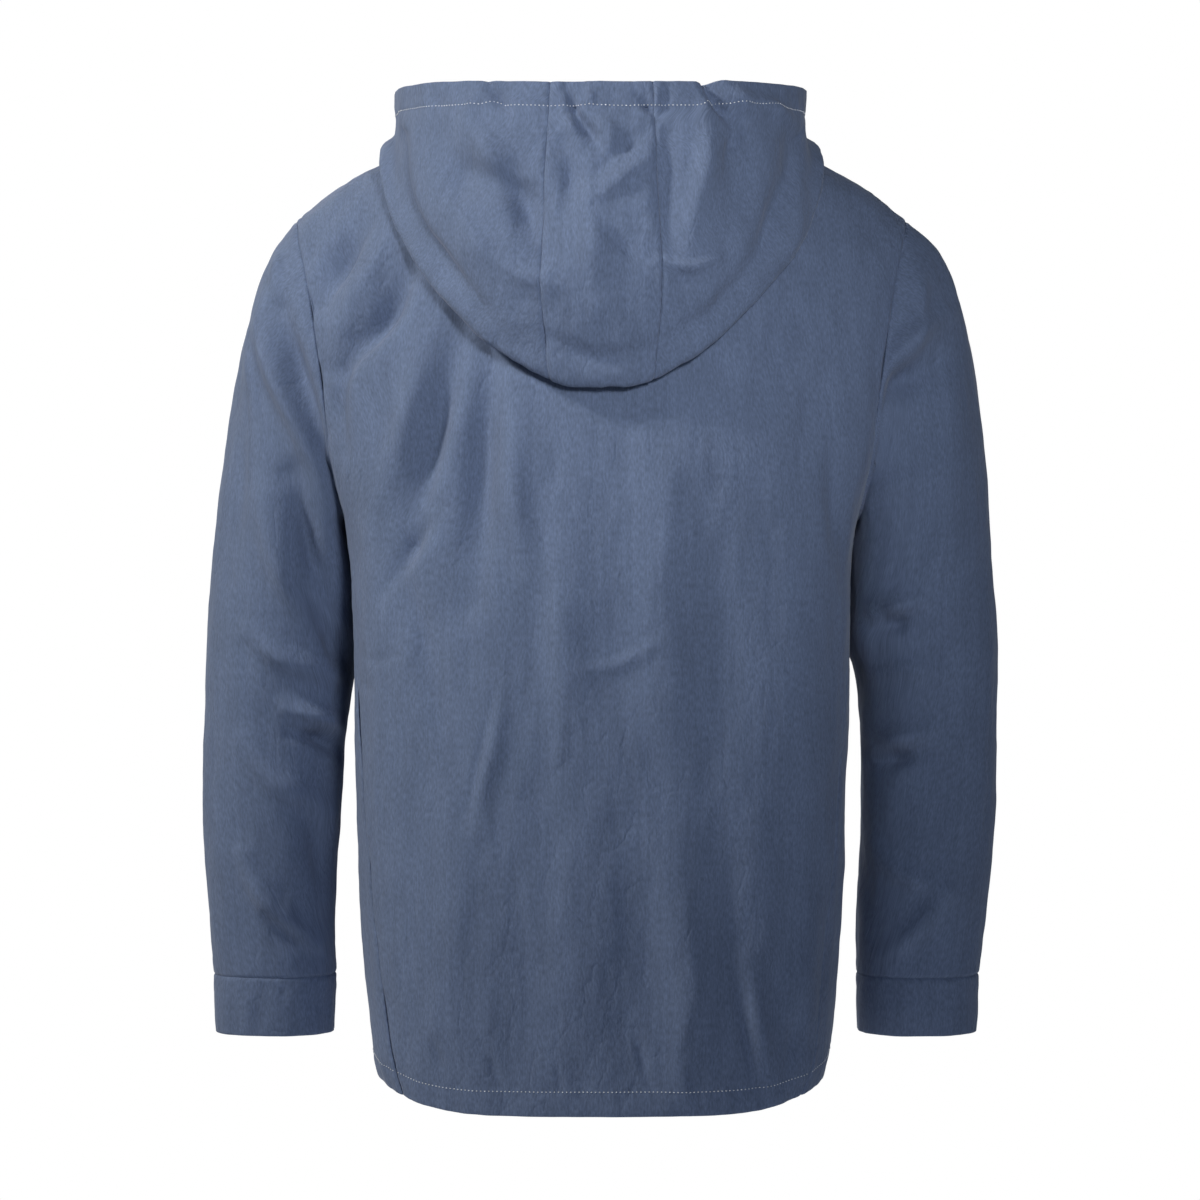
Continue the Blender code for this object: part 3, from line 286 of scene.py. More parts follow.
def sleeve(hand, index, step):
    """Points of a sleeve at places round it and steps down it."""
    fading = np.maximum(1.0 - step / CAP_END, 0.0)[..., None] ** 2
    points = sleeve_section(index, step) + (armhole(index) - sleeve_section(index, 0.0)) * fading
    top = ((1.0 - np.cos(np.pi * index / UPPER_ROWS)) / 2) ** 2
    below = np.clip((step - SWAY_BELOW[0]) / (SWAY_BELOW[1] - SWAY_BELOW[0]), 0.0, 1.0)
    points[..., 0] = points[..., 0] * hand + read(SLEEVE_SWAY, step, "shift") * (top + (1.0 - top) * below)
    points[..., 0] += hand * read(SLEEVE_PINCH, step, "left" if hand > 0 else "right") * (1.0 - top)
    return points


def cuff(hand, index, part):
    """Points of a cuff, from its seam, part 0, to its lower edge, part 1."""
    seam = sleeve(hand, index, np.ones_like(part))
    ends = sleeve(hand, np.array([0.0, UPPER_ROWS]), np.ones(2))
    middle = (ends[0] + ends[1]) / 2
    size = (1.0 + (CUFF_TAPER - 1.0) * part * part)[..., None]
    return middle + (seam - middle) * size + places(0.0, CUFF_LEAN * part, -CUFF_DEPTH * part)


def neck(column):
    """The neckline from the centre back, column 0, over the shoulder seam, to the centre front."""
    if column <= NECK_COLUMNS:
        return Vector(torso(column, TOP_ROW, BACK))
    return Vector(torso(2 * NECK_COLUMNS - column, TOP_ROW, FRONT))


TOUCHING = 1e-5               # closer than this, a point lies on the body
CHORD_POWER = 0.75            # of the distances between a curve's points, which sets its pace


def clear_of(point, body, room):
    """The point, moved out until it has this much room to the body, unless it lies past the body's edges."""
    spot, normal, _, away = body.find_nearest(point)
    out = (point - spot).dot(normal)
    if (away > TOUCHING and abs(out) < EDGE_SLANT * away) or out >= room:
        return point
    return point + normal * (room - out)


def hood_cut(column, body):
    """The control points of one lengthwise cut: neck seam, stand, crest, inner wall, fold, belly and rim."""
    section = {name: float(read(HOOD_SECTIONS, column, name)) for name in Hood._fields[1:]}
    start = neck(column)
    outward = Vector((start.x, start.y, 0.0)).normalized()
    angle = math.radians(section["angle"])
    bearing = Vector((math.sin(angle), math.cos(angle), 0.0))
    lift = Vector((0.0, 0.0, 1.0))

    def layer(name):
        point = bearing * section[name + "_reach"] + lift * section[name + "_z"]
        return clear_of(point, body, HOOD_ROOM[name]) if name in HOOD_ROOM else point

    fold = layer("fold")
    bend = FOLD_ROUND * min((2 * NECK_COLUMNS - column) / 2, 1.0)
    return [start, start + lift * section["stand"] + outward * STAND_LEAN,
            start + lift * section["crest_up"] + outward * section["crest_out"], layer("inner"),
            clear_of(fold - bearing * bend, body, HOOD_ROOM["inner"]), fold + lift * bend / 2, layer("belly"),
            layer("rim")]


def curve(points, parts):
    """A smooth curve through the points, read at these parts of its length."""
    points = np.array(points, float)
    steps = np.linalg.norm(np.diff(points, axis=0), axis=1) ** CHORD_POWER
    at = np.concatenate([[0.0], np.cumsum(steps)])
    Place = namedtuple("Place", "at x y z")
    rows = [Place(*row) for row in np.column_stack([at, points])]
    return np.stack([read(rows, np.asarray(parts) * at[-1], axis) for axis in "xyz"], axis=-1)


# ---- grids ----
NEAR_SEAM = (0.02, 0.045, 0.075)       # extra lines beside a seam, in grid units
CLEAR_OF_SEAM = 0.09                   # where the even lines start again


def spread(counts, seams=()):
    """Evenly split grid lines: counts[i] of them for unit i, with closer ones beside the `seams`."""
    lines = [unit + part / count for unit, count in enumerate(counts) for part in range(count)]
    lines.append(float(len(counts)))
    lines = [line for line in lines
             if all(line == seam or abs(line - seam) > CLEAR_OF_SEAM for seam in seams)]
    lines += [seam + way * near for seam in seams for way in (-1.0, 1.0) for near in NEAR_SEAM]
    return np.array(sorted(set(round(line, 5) for line in lines if 0.0 <= line <= len(counts))))


TORSO_HALF_COLUMNS = spread((6,) * NECK_COLUMNS + (8,) * SHOULDER_COLUMNS, (SIDE_COLUMN,))
TORSO_ROWS = spread((9,) * LOWER_ROWS + (9,) * UPPER_ROWS, (TOP_ROW,))
SLEEVE_INDEX = spread((7,) * 2 * UPPER_ROWS)
SLEEVE_LINES = spread((10,) * SLEEVE_ROWS, (0, SLEEVE_ROWS)) / SLEEVE_ROWS
CUFF_LINES = spread((8,) * 3, (0,)) / 3
HOOD_HALF_COLUMNS = spread((24, 24, 22, 18, 14, 14, 12, 8), (CENTRE_PANEL_COLUMN,))
HOOD_LINES = spread((8,) * HOOD_ROWS, (0,)) / HOOD_ROWS


def normals_of(points, closed=False):
    """Unit normals of a grid of points, by its across and up directions."""
    across = np.gradient(points, axis=1)
    if closed:
        across[:, 0] = across[:, -1] = points[:, 1] - points[:, -2]
    up = np.gradient(points, axis=0)
    facing = np.cross(across, up)
    return facing / np.maximum(np.linalg.norm(facing, axis=-1, keepdims=True), 1e-12)


def run_along(points, axis):
    """Length along a grid's lines from their first point."""
    steps = np.linalg.norm(np.diff(points, axis=axis), axis=-1)
    zero = np.zeros_like(np.take(steps, [0], axis=axis))
    return np.concatenate([zero, np.cumsum(steps, axis=axis)], axis=axis)


def surface_of(grids):
    """The grids' surfaces, for measuring distances to them; each grid comes with its outward direction."""
    points, quads = [], []
    for grid, outward in grids:
        wide = grid.shape[1]
        turned = (normals_of(grid) * outward)[grid.shape[0] // 2, wide // 2 + 1].sum() < 0.0
        start = len(points)
        points += [tuple(point) for point in grid.reshape(-1, 3)]
        for low in (row * wide + column for row in range(grid.shape[0] - 1) for column in range(wide - 1)):
            quad = [start + low, start + low + 1, start + low + wide + 1, start + low + wide]
            quads.append(quad[::-1] if turned else quad)
    return BVHTree.FromPolygons(points, quads)


def settled(grid, lines, body, clearance):
    """A piece laid on the body: clear of it everywhere but at its first row, where it is sewn."""
    for row, line in enumerate(lines):
        room = clearance * float(np.interp(line, [0.0, 1.0, 2.0], [0.0, FIRST_ROW, 1.0]))
        if row:
            for column in range(grid.shape[1]):
                grid[row, column] = clear_of(Vector(grid[row, column]), body, room)
    return grid


# ---- creases: where they run, as seen from behind or in front, metres ----
# depth stands out, or sinks where it is below 0.  other is the width on the right of a path, walked from its
# start, where it isn't the same.  start and end are the shares of the depth left at the path's ends.
Crease = namedtuple("Crease", "side path width depth other start end", defaults=(None, 0.35, 0.35))
BODY_CREASES = (
    Crease(BACK, ((0.180, -0.040), (0.196, -0.066), (0.213, -0.100)), 0.0074, -0.0150, 0.011),
    Crease(BACK, ((0.160, -0.050), (0.178, -0.082), (0.200, -0.118)), 0.0083, 0.0065),
    Crease(BACK, ((0.143, -0.075), (0.163, -0.112), (0.198, -0.152)), 0.0083, -0.0183, 0.012),
    Crease(BACK, ((0.190, -0.130), (0.199, -0.170), (0.196, -0.215)), 0.0064, -0.0070),
    Crease(BACK, ((0.105, -0.118), (0.120, -0.180), (0.146, -0.285)), 0.0101, -0.0176, 0.014),
    Crease(BACK, ((0.134, -0.130), (0.146, -0.190), (0.166, -0.250)), 0.0110, 0.0073),
    Crease(BACK, ((0.083, -0.140), (0.090, -0.250), (0.096, -0.330)), 0.0110, -0.0142, 0.015),
    Crease(BACK, ((0.064, -0.170), (0.066, -0.240), (0.056, -0.310)), 0.0110, 0.0065),
    Crease(BACK, ((0.030, -0.250), (0.031, -0.340), (0.026, -0.440)), 0.0220, 0.0073, 0.009),
    Crease(BACK, ((0.026, -0.420), (0.020, -0.520), (0.028, -0.620)), 0.0260, 0.0040, 0.013),
    Crease(BACK, ((-0.084, -0.250), (-0.084, -0.330), (-0.096, -0.520)), 0.0220, -0.0066),
    Crease(BACK, ((-0.044, -0.190), (-0.048, -0.280), (-0.040, -0.400)), 0.0220, 0.0053),
    Crease(BACK, ((-0.140, -0.200), (-0.150, -0.330), (-0.140, -0.500)), 0.0200, 0.0053),
    Crease(BACK, ((0.080, -0.400), (0.094, -0.462), (0.100, -0.486)), 0.0040, -0.0042, 0.0034),
    Crease(BACK, ((0.072, -0.392), (0.087, -0.462), (0.091, -0.500)), 0.0092, 0.0057),
    Crease(BACK, ((0.010, -0.379), (-0.014, -0.374), (-0.043, -0.358)), 0.0034, 0.0032, 0.007),
    Crease(BACK, ((0.122, -0.258), (0.141, -0.286), (0.166, -0.324)), 0.0064, -0.0066),
    Crease(BACK, ((0.156, -0.300), (0.136, -0.350), (0.122, -0.420)), 0.0101, -0.0057),
    Crease(BACK, ((0.150, -0.400), (0.138, -0.470), (0.142, -0.560)), 0.0180, -0.0040),
    Crease(BACK, ((0.120, -0.470), (0.112, -0.560), (0.122, -0.650)), 0.0160, 0.0035),
    Crease(BACK, ((-0.094, -0.514), (-0.096, -0.570), (-0.103, -0.616)), 0.0160, -0.0052),
    Crease(BACK, ((-0.102, -0.606), (-0.109, -0.662), (-0.118, -0.704)), 0.0040, -0.0042, 0.0034),
    Crease(BACK, ((-0.111, -0.596), (-0.119, -0.655), (-0.128, -0.702)), 0.0083, 0.0053),
    Crease(BACK, ((-0.158, -0.076), (-0.136, -0.122), (-0.114, -0.190)), 0.0138, -0.0083),
    Crease(BACK, ((-0.186, -0.120), (-0.160, -0.180), (-0.142, -0.260)), 0.0120, -0.0066),
    Crease(BACK, ((-0.172, -0.190), (-0.176, -0.250), (-0.186, -0.320)), 0.0092, -0.0073),
    Crease(BACK, ((-0.160, -0.560), (-0.150, -0.620), (-0.154, -0.680)), 0.0110, 0.0059),
    Crease(BACK, ((0.062, -0.520), (0.052, -0.600), (0.058, -0.690)), 0.0200, -0.0042),
    Crease(BACK, ((-0.020, -0.500), (-0.034, -0.600), (-0.026, -0.690)), 0.0200, -0.0047),
    Crease(BACK, ((-0.060, -0.560), (-0.068, -0.620), (-0.060, -0.690)), 0.0129, 0.0050),
    Crease(BACK, ((0.184, -0.370), (0.170, -0.373), (0.154, -0.369)), 0.0030, -0.0018),
    Crease(BACK, ((0.183, -0.392), (0.172, -0.398)), 0.0028, -0.0014),
    Crease(BACK, ((0.126, -0.656), (0.119, -0.684)), 0.0034, -0.0020),
    Crease(BACK, ((0.086, -0.664), (0.075, -0.692)), 0.0036, -0.0024),
    Crease(BACK, ((0.034, -0.672), (0.030, -0.694)), 0.0030, -0.0016),
    Crease(BACK, ((-0.026, -0.652), (-0.036, -0.692)), 0.0038, -0.0024),
    Crease(BACK, ((-0.068, -0.674), (-0.066, -0.694)), 0.0030, -0.0016),
    Crease(BACK, ((-0.148, -0.630), (-0.139, -0.684)), 0.0046, -0.0034),
    Crease(FRONT, ((0.150, -0.120), (0.120, -0.200), (0.075, -0.300)), 0.0129, -0.0109),
    Crease(FRONT, ((0.090, -0.300), (0.100, -0.420), (0.085, -0.600)), 0.0180, -0.0071),
    Crease(FRONT, ((-0.155, -0.110), (-0.130, -0.200), (-0.090, -0.270)), 0.0129, -0.0116),
    Crease(FRONT, ((-0.075, -0.340), (-0.090, -0.460), (-0.105, -0.620)), 0.0180, -0.0068),
    Crease(FRONT, ((0.172, -0.250), (0.140, -0.300), (0.100, -0.332)), 0.0083, -0.0079),
    Crease(FRONT, ((0.060, -0.130), (0.052, -0.230), (0.060, -0.340)), 0.0160, 0.0047),
    Crease(FRONT, ((0.138, -0.380), (0.148, -0.480), (0.136, -0.600)), 0.0160, 0.0052),
    Crease(FRONT, ((0.040, -0.560), (0.046, -0.640), (0.038, -0.690)), 0.0110, -0.0059),
    Crease(FRONT, ((0.118, -0.628), (0.112, -0.672), (0.120, -0.700)), 0.0055, -0.0050),
    Crease(FRONT, ((-0.174, -0.255), (-0.150, -0.318), (-0.112, -0.352)), 0.0092, -0.0083),
    Crease(FRONT, ((-0.056, -0.120), (-0.064, -0.220), (-0.050, -0.310)), 0.0160, 0.0050),
    Crease(FRONT, ((-0.144, -0.400), (-0.136, -0.500), (-0.148, -0.620)), 0.0160, 0.0050),
    Crease(FRONT, ((-0.044, -0.600), (-0.040, -0.650), (-0.048, -0.696)), 0.0101, -0.0057),
)
SLEEVE_CREASES = (
    Crease(BACK, ((0.266, -0.078), (0.254, -0.140), (0.230, -0.200), (0.206, -0.256)), 0.0120, 0.0127, 0.008),
    Crease(BACK, ((0.246, -0.104), (0.234, -0.150), (0.214, -0.205)), 0.0083, -0.0117),
    Crease(BACK, ((0.238, -0.232), (0.224, -0.286), (0.206, -0.330)), 0.0110, -0.0142, 0.010),
    Crease(BACK, ((0.262, -0.250), (0.244, -0.312), (0.216, -0.352)), 0.0110, 0.0101, 0.009),
    Crease(BACK, ((0.232, -0.318), (0.207, -0.358), (0.192, -0.398)), 0.0092, -0.0127),
    Crease(BACK, ((0.272, -0.352), (0.244, -0.374), (0.208, -0.386)), 0.0092, 0.0091, 0.008),
    Crease(BACK, ((0.244, -0.412), (0.218, -0.419), (0.198, -0.434)), 0.0083, 0.0105, 0.005),
    Crease(BACK, ((0.240, -0.430), (0.216, -0.437), (0.200, -0.452)), 0.0055, -0.0120),
    Crease(BACK, ((0.276, -0.440), (0.246, -0.472), (0.214, -0.492)), 0.0101, 0.0083),
    Crease(BACK, ((0.230, -0.490), (0.216, -0.530), (0.212, -0.574)), 0.0101, -0.0101),
    Crease(BACK, ((0.278, -0.526), (0.262, -0.560), (0.226, -0.598)), 0.0092, 0.0105, 0.007),
    Crease(BACK, ((0.258, -0.574), (0.232, -0.604)), 0.0064, -0.0073),
    Crease(BACK, ((0.250, -0.052), (0.249, -0.094)), 0.0046, 0.0051),
    Crease(BACK, ((0.272, -0.120), (0.267, -0.180)), 0.0055, 0.0051),
    Crease(BACK, ((0.284, -0.150), (0.280, -0.230), (0.287, -0.310)), 0.0083, -0.0059),
    Crease(BACK, ((-0.208, -0.150), (-0.238, -0.125), (-0.264, -0.106)), 0.0083, 0.0120, 0.012),
    Crease(BACK, ((-0.212, -0.174), (-0.234, -0.160), (-0.256, -0.148)), 0.0110, -0.0135),
    Crease(BACK, ((-0.232, -0.056), (-0.243, -0.092), (-0.234, -0.140)), 0.0074, 0.0062),
    Crease(BACK, ((-0.206, -0.250), (-0.226, -0.238), (-0.252, -0.234)), 0.0092, 0.0065),
    Crease(BACK, ((-0.270, -0.160), (-0.262, -0.240), (-0.270, -0.330)), 0.0129, 0.0062),
    Crease(BACK, ((-0.214, -0.334), (-0.246, -0.327)), 0.0074, 0.0099),
    Crease(BACK, ((-0.212, -0.350), (-0.242, -0.344)), 0.0064, -0.0091),
    Crease(BACK, ((-0.216, -0.386), (-0.240, -0.380), (-0.264, -0.386)), 0.0074, 0.0055),
    Crease(BACK, ((-0.214, -0.440), (-0.254, -0.427)), 0.0074, 0.0099),
    Crease(BACK, ((-0.212, -0.455), (-0.248, -0.446)), 0.0064, -0.0091),
    Crease(BACK, ((-0.212, -0.516), (-0.232, -0.538), (-0.264, -0.552)), 0.0083, 0.0065),
    Crease(BACK, ((-0.268, -0.556), (-0.240, -0.590), (-0.222, -0.608)), 0.0083, 0.0062),
    Crease(FRONT, ((0.215, -0.215), (0.250, -0.190), (0.280, -0.180)), 0.0092, 0.0101),
    Crease(FRONT, ((0.215, -0.400), (0.250, -0.412), (0.285, -0.405)), 0.0092, -0.0101),
    Crease(FRONT, ((-0.215, -0.235), (-0.250, -0.205), (-0.280, -0.200)), 0.0092, 0.0101),
    Crease(FRONT, ((-0.215, -0.420), (-0.250, -0.430), (-0.285, -0.415)), 0.0092, -0.0101),
    Crease(FRONT, ((0.206, -0.300), (0.238, -0.322), (0.268, -0.316)), 0.0083, 0.0083),
    Crease(FRONT, ((0.216, -0.360), (0.246, -0.372), (0.280, -0.358)), 0.0074, 0.0077),
    Crease(FRONT, ((0.226, -0.455), (0.256, -0.462), (0.288, -0.446)), 0.0083, 0.0077),
    Crease(FRONT, ((0.222, -0.560), (0.250, -0.588), (0.282, -0.600)), 0.0083, 0.0073),
    Crease(FRONT, ((-0.206, -0.310), (-0.236, -0.330), (-0.270, -0.322)), 0.0083, 0.0081),
    Crease(FRONT, ((-0.218, -0.374), (-0.250, -0.384), (-0.282, -0.372)), 0.0074, 0.0077),
    Crease(FRONT, ((-0.224, -0.470), (-0.250, -0.480), (-0.286, -0.462)), 0.0083, 0.0077),
    Crease(FRONT, ((-0.224, -0.570), (-0.256, -0.594), (-0.280, -0.602)), 0.0083, 0.0065),
)
CUFF_CREASES = (
    Crease(BACK, ((0.248, -0.622), (0.247, -0.640)), 0.0028, -0.0018),
    Crease(BACK, ((0.272, -0.626), (0.276, -0.660)), 0.006, 0.0016),
    Crease(BACK, ((0.226, -0.628), (0.222, -0.655)), 0.006, -0.0018),
    Crease(BACK, ((-0.240, -0.626), (-0.236, -0.656)), 0.006, 0.0016),
    Crease(FRONT, ((0.262, -0.626), (0.258, -0.656)), 0.006, 0.0016),
    Crease(FRONT, ((-0.258, -0.626), (-0.264, -0.656)), 0.006, 0.0016),
)
HOOD_CREASES = (
    Crease(BACK, ((0.100, -0.006), (0.072, -0.018), (0.044, -0.031)), 0.0085, -0.0092, 0.012),
    Crease(BACK, ((0.096, -0.058), (0.078, -0.080), (0.056, -0.099)), 0.0070, -0.0080, 0.011),
    Crease(BACK, ((0.106, -0.036), (0.086, -0.069), (0.066, -0.086), (0.041, -0.091)), 0.0054, 0.0100, 0.013),
    Crease(BACK, ((0.064, -0.010), (0.054, -0.046), (0.044, -0.070)), 0.0117, -0.0125),
    Crease(BACK, ((0.100, 0.030), (0.082, 0.004), (0.070, -0.034)), 0.0108, 0.0078, 0.009),
    Crease(BACK, ((0.120, 0.020), (0.106, -0.010), (0.100, -0.040)), 0.0108, -0.0064),
    Crease(BACK, ((0.151, 0.026), (0.148, -0.016), (0.135, -0.049), (0.113, -0.078), (0.088, -0.108)),
           0.0045, -0.0081, 0.009, 0.9, 0.3),
    Crease(BACK, ((0.140, -0.062), (0.118, -0.094), (0.086, -0.128)), 0.0063, 0.0054),
    Crease(BACK, ((-0.151, 0.020), (-0.141, -0.020), (-0.122, -0.066), (-0.100, -0.094)),
           0.0036, -0.0112, 0.012, 0.9, 0.2),
    Crease(BACK, ((-0.152, -0.020), (-0.140, -0.058), (-0.114, -0.098)), 0.0081, 0.0061),
    Crease(BACK, ((0.022, 0.036), (0.008, 0.021), (0.001, 0.008)), 0.0036, -0.0062, 0.006),
    Crease(BACK, ((0.028, 0.034), (0.016, 0.012)), 0.0054, 0.0046),
    Crease(BACK, ((0.014, 0.036), (-0.006, 0.020), (-0.012, 0.000)), 0.0063, 0.0046),
    Crease(BACK, ((-0.036, 0.000), (-0.018, -0.014), (0.002, -0.030)), 0.0043, 0.0062, 0.009),
    Crease(BACK, ((-0.034, 0.020), (-0.014, 0.006), (0.004, -0.012)), 0.0060, -0.0039),
    Crease(BACK, ((0.028, 0.010), (0.022, -0.018), (0.026, -0.040)), 0.0090, -0.0075),
    Crease(BACK, ((0.012, -0.030), (0.006, -0.064), (0.002, -0.104)), 0.0144, 0.0082),
    Crease(BACK, ((0.000, -0.050), (-0.014, -0.064), (-0.030, -0.077)), 0.0054, -0.0046),
    Crease(BACK, ((-0.050, 0.034), (-0.048, -0.020), (-0.052, -0.074)), 0.0081, -0.0071),
    Crease(BACK, ((-0.078, 0.036), (-0.076, -0.006), (-0.066, -0.050)), 0.0108, 0.0107, 0.006),
    Crease(BACK, ((-0.100, 0.035), (-0.104, -0.020), (-0.092, -0.070)), 0.0126, -0.0078),
    Crease(BACK, ((-0.106, 0.030), (-0.100, 0.016), (-0.095, 0.002)), 0.0040, -0.0065),
    Crease(BACK, ((-0.044, -0.076), (-0.066, -0.081), (-0.090, -0.074)), 0.0032, 0.0047),
    Crease(BACK, ((-0.050, -0.086), (-0.072, -0.092)), 0.0054, -0.0043),
    Crease(BACK, ((0.038, -0.134), (0.002, -0.148), (-0.034, -0.142)), 0.0072, -0.0057),
    Crease(BACK, ((-0.112, -0.084), (-0.086, -0.112), (-0.052, -0.134)), 0.0081, -0.0064),
    Crease(BACK, ((0.084, 0.058), (0.078, 0.048), (0.070, 0.038)), 0.0032, -0.0062, None, 0.8, 0.5),
    Crease(BACK, ((0.070, 0.058), (0.080, 0.036)), 0.0032, -0.0026),
    Crease(BACK, ((0.092, 0.052), (0.098, 0.038)), 0.0036, 0.0025),
    Crease(BACK, ((0.026, 0.054), (0.016, 0.028)), 0.0032, -0.0056),
    Crease(BACK, ((0.010, 0.056), (0.006, 0.040)), 0.0036, 0.0031),
    Crease(BACK, ((-0.026, 0.048), (-0.042, 0.032)), 0.0034, -0.0062),
    Crease(BACK, ((-0.050, 0.056), (-0.045, 0.034)), 0.0032, -0.0047),
    Crease(BACK, ((-0.078, 0.062), (-0.088, 0.044), (-0.100, 0.030)), 0.0045, -0.0129, None, 0.9, 0.3),
    Crease(BACK, ((-0.092, 0.060), (-0.106, 0.044), (-0.118, 0.040)), 0.0063, 0.0071),
    Crease(BACK, ((-0.110, 0.050), (-0.130, 0.044), (-0.150, 0.034)), 0.0054, 0.0057),
    Crease(BACK, ((0.124, 0.056), (0.121, 0.042)), 0.0036, -0.0028),
)
CREASE_FACING = 1.6           # how soon a crease fades where the cloth turns away from its side
CREASE_REACH = 2.6            # widths from its path to where it ends


def smooth_track(path):
    track = np.array(path, float)
    if len(track) == 2:
        return track
    return curve(np.insert(track, 1, 0.0, axis=1), np.linspace(0.0, 1.0, 8 * len(track)))[:, (0, 2)]


def relief(points, facing, creases):
    """How far the cloth stands out at each point, from the creases that pass near it."""
    shift = np.zeros(points.shape[:-1])
    flat = points[..., (0, 2)]
    for crease in creases:
        track = smooth_track(crease.path)
        other = crease.other or crease.width
        reach = CREASE_REACH * max(crease.width, other)
        toward = np.clip(facing[..., 1] * crease.side * CREASE_FACING, 0.0, 1.0)
        near = (toward > 0.0) & np.all((flat > track.min(0) - reach) & (flat < track.max(0) + reach), axis=-1)
        if not near.any():
            continue
        run = np.diff(track, axis=0)
        lengths = np.linalg.norm(run, axis=1)
        gap = flat[near][:, None] - track[None, :-1]
        part = np.clip((gap * run).sum(-1) / lengths ** 2, 0.0, 1.0)
        away = np.linalg.norm(gap - part[..., None] * run, axis=-1)
        pick = away.argmin(1)
        each = np.arange(len(pick))
        gap, part, away = gap[each, pick], part[each, pick], away[each, pick]
        turned = run[pick, 0] * gap[:, 1] - run[pick, 1] * gap[:, 0]
        width = np.where(turned * crease.side < 0.0, crease.width, other)
        at = (np.cumsum(lengths)[pick] - lengths[pick] * (1.0 - part)) / lengths.sum()
        swing = (1.0 - np.cos(2.0 * np.pi * at)) / 2
        share = np.where(at < 0.5, crease.start, crease.end) * (1.0 - swing) + swing
        shift[near] += toward[near] * crease.depth * share * np.exp(-(away / width) ** 2)
    return shift


def ripple(points, across, up, height, seed):
    """A soft unevenness of the cloth, with its waves' lengths across it and up it."""
    start = Vector((seed, 2.0 * seed, 3.0 * seed))
    size = np.array([across, across, up])
    values = [noise.noise(Vector(place) + start) for place in (points / size).reshape(-1, 3).tolist()]
    return height * np.array(values).reshape(points.shape[:-1])


# ---- sheets of cloth ----
def from_edge(points, edge):
    """Each point's distance along the cloth from an edge: low, high, left, right, or a column's number."""
    along = run_along(points, 0 if edge in ("low", "high") else 1)
    if edge in ("low", "left"):
        return along
    if edge == "high":
        return along[-1:] - along
    if edge == "right":
        return along[:, -1:] - along
    return np.abs(along - along[:, edge:edge + 1])


SEAM_ROLL = 0.0009            # how far the cloth dips to a seam
SEAM_WIDTH = 0.0013
SEAM_FADE = 0.016             # how far from a seam the creases reach their full depth
PUCKER = 0.0016               # height of a seam's puckers, the length of their waves and how far they reach
PUCKER_LENGTH = 0.0075
PUCKER_REACH = 0.0085
HEM = 0.018                   # depth of the hem, of the cuffs' turning and of the hood's casing
HEM_RAISE = 0.0005
STITCH_SINK = 0.0006
STITCH_WIDTH = 0.0013
ZIP_STITCH = 0.008            # from the zip's edge to the topstitching beside it
TURN_ROUND = 0.00065          # radius of a turned edge
TURN_STEPS = (180, 144, 108, 72, 36)   # places round a turned edge, in degrees from its outer face
MEETING = 1e-6                # closer than this, a closed grid's two ends are one line
RIPPLES = (                   # wave across the cloth, wave up it and height
    (0.035, 0.090, 0.0022),
    (0.013, 0.034, 0.0009),
    (0.006, 0.012, 0.00030),
)


def outward_sign(points, closed):
    """Which way the grid's normals have to be turned to point away from its hollow."""
    row, column = points.shape[0] * 3 // 4, 0 if closed else points.shape[1] // 2
    hollow = points[row].mean(0) if closed else np.array([0.0, 0.0, points[row, column, 2]])
    outward = normals_of(points, closed)[row, column] @ (points[row, column] - hollow)
    return 1.0 if outward > 0.0 else -1.0


def worked(points, creases, seed, closed=False, fixed=(), sewn=(), stitched=()):
    """A piece's outer face and its sign: its middle surface, creased, dipped at seams and raised at hems."""
    sign = outward_sign(points, closed)
    facing = normals_of(points, closed) * sign
    shift = relief(points, facing, creases)
    for across, up, height in RIPPLES:
        shift += ripple(points, across, up, height, seed)
    for edge in fixed:
        shift *= 1.0 - np.exp(-(from_edge(points, edge) / SEAM_FADE) ** 2)
    puckers = ripple(points, PUCKER_LENGTH, PUCKER_LENGTH, PUCKER, seed + 7.0)
    for edge in sewn:
        away = from_edge(points, edge)
        shift += puckers * (away / PUCKER_REACH) * np.exp(-(away / PUCKER_REACH) ** 2)
        shift -= SEAM_ROLL * np.exp(-(away / SEAM_WIDTH) ** 2)
    for edge, depth in stitched:
        away = from_edge(points, edge)
        shift += HEM_RAISE * (1.0 - np.tanh((away - depth) / STITCH_WIDTH)) / 2
        shift += puckers * np.exp(-((away - depth) / PUCKER_REACH) ** 2) / 2
        shift -= STITCH_SINK * np.exp(-((away - depth) / STITCH_WIDTH) ** 2)
    return points + facing * (shift + WALL / 2)[..., None], sign


def turned_in(points, facing, depth):
    """The grid with its first rows turned up inside it, over a round edge."""
    away = points[0] - points[1]
    away /= np.linalg.norm(away, axis=-1, keepdims=True)
    rows = int(np.searchsorted(run_along(points, 0)[:, points.shape[1] // 2], depth))
    inner = points[rows:0:-1] - facing[rows:0:-1] * 2 * TURN_ROUND
    bend = []
    for degrees in TURN_STEPS:
        angle = math.radians(degrees)
        bend.append(points[0] + away * TURN_ROUND * math.sin(angle)
                    - facing[0] * TURN_ROUND * (1.0 - math.cos(angle)))
    return np.concatenate([inner, bend, points])


def with_turned_edges(points, sign, closed, edges):
    """The grid with its hems turned in, and with its zip edge, where it has one, rolled in."""
    for edge in edges:
        facing = normals_of(points, closed) * sign
        if edge == "low":
            points = turned_in(points, facing, HEM)
        elif edge == "high":
            points = turned_in(points[::-1], facing[::-1], HEM)[::-1]
        else:
            points = turned_in(points.transpose(1, 0, 2), facing.transpose(1, 0, 2), 0.0).transpose(1, 0, 2)
    return points


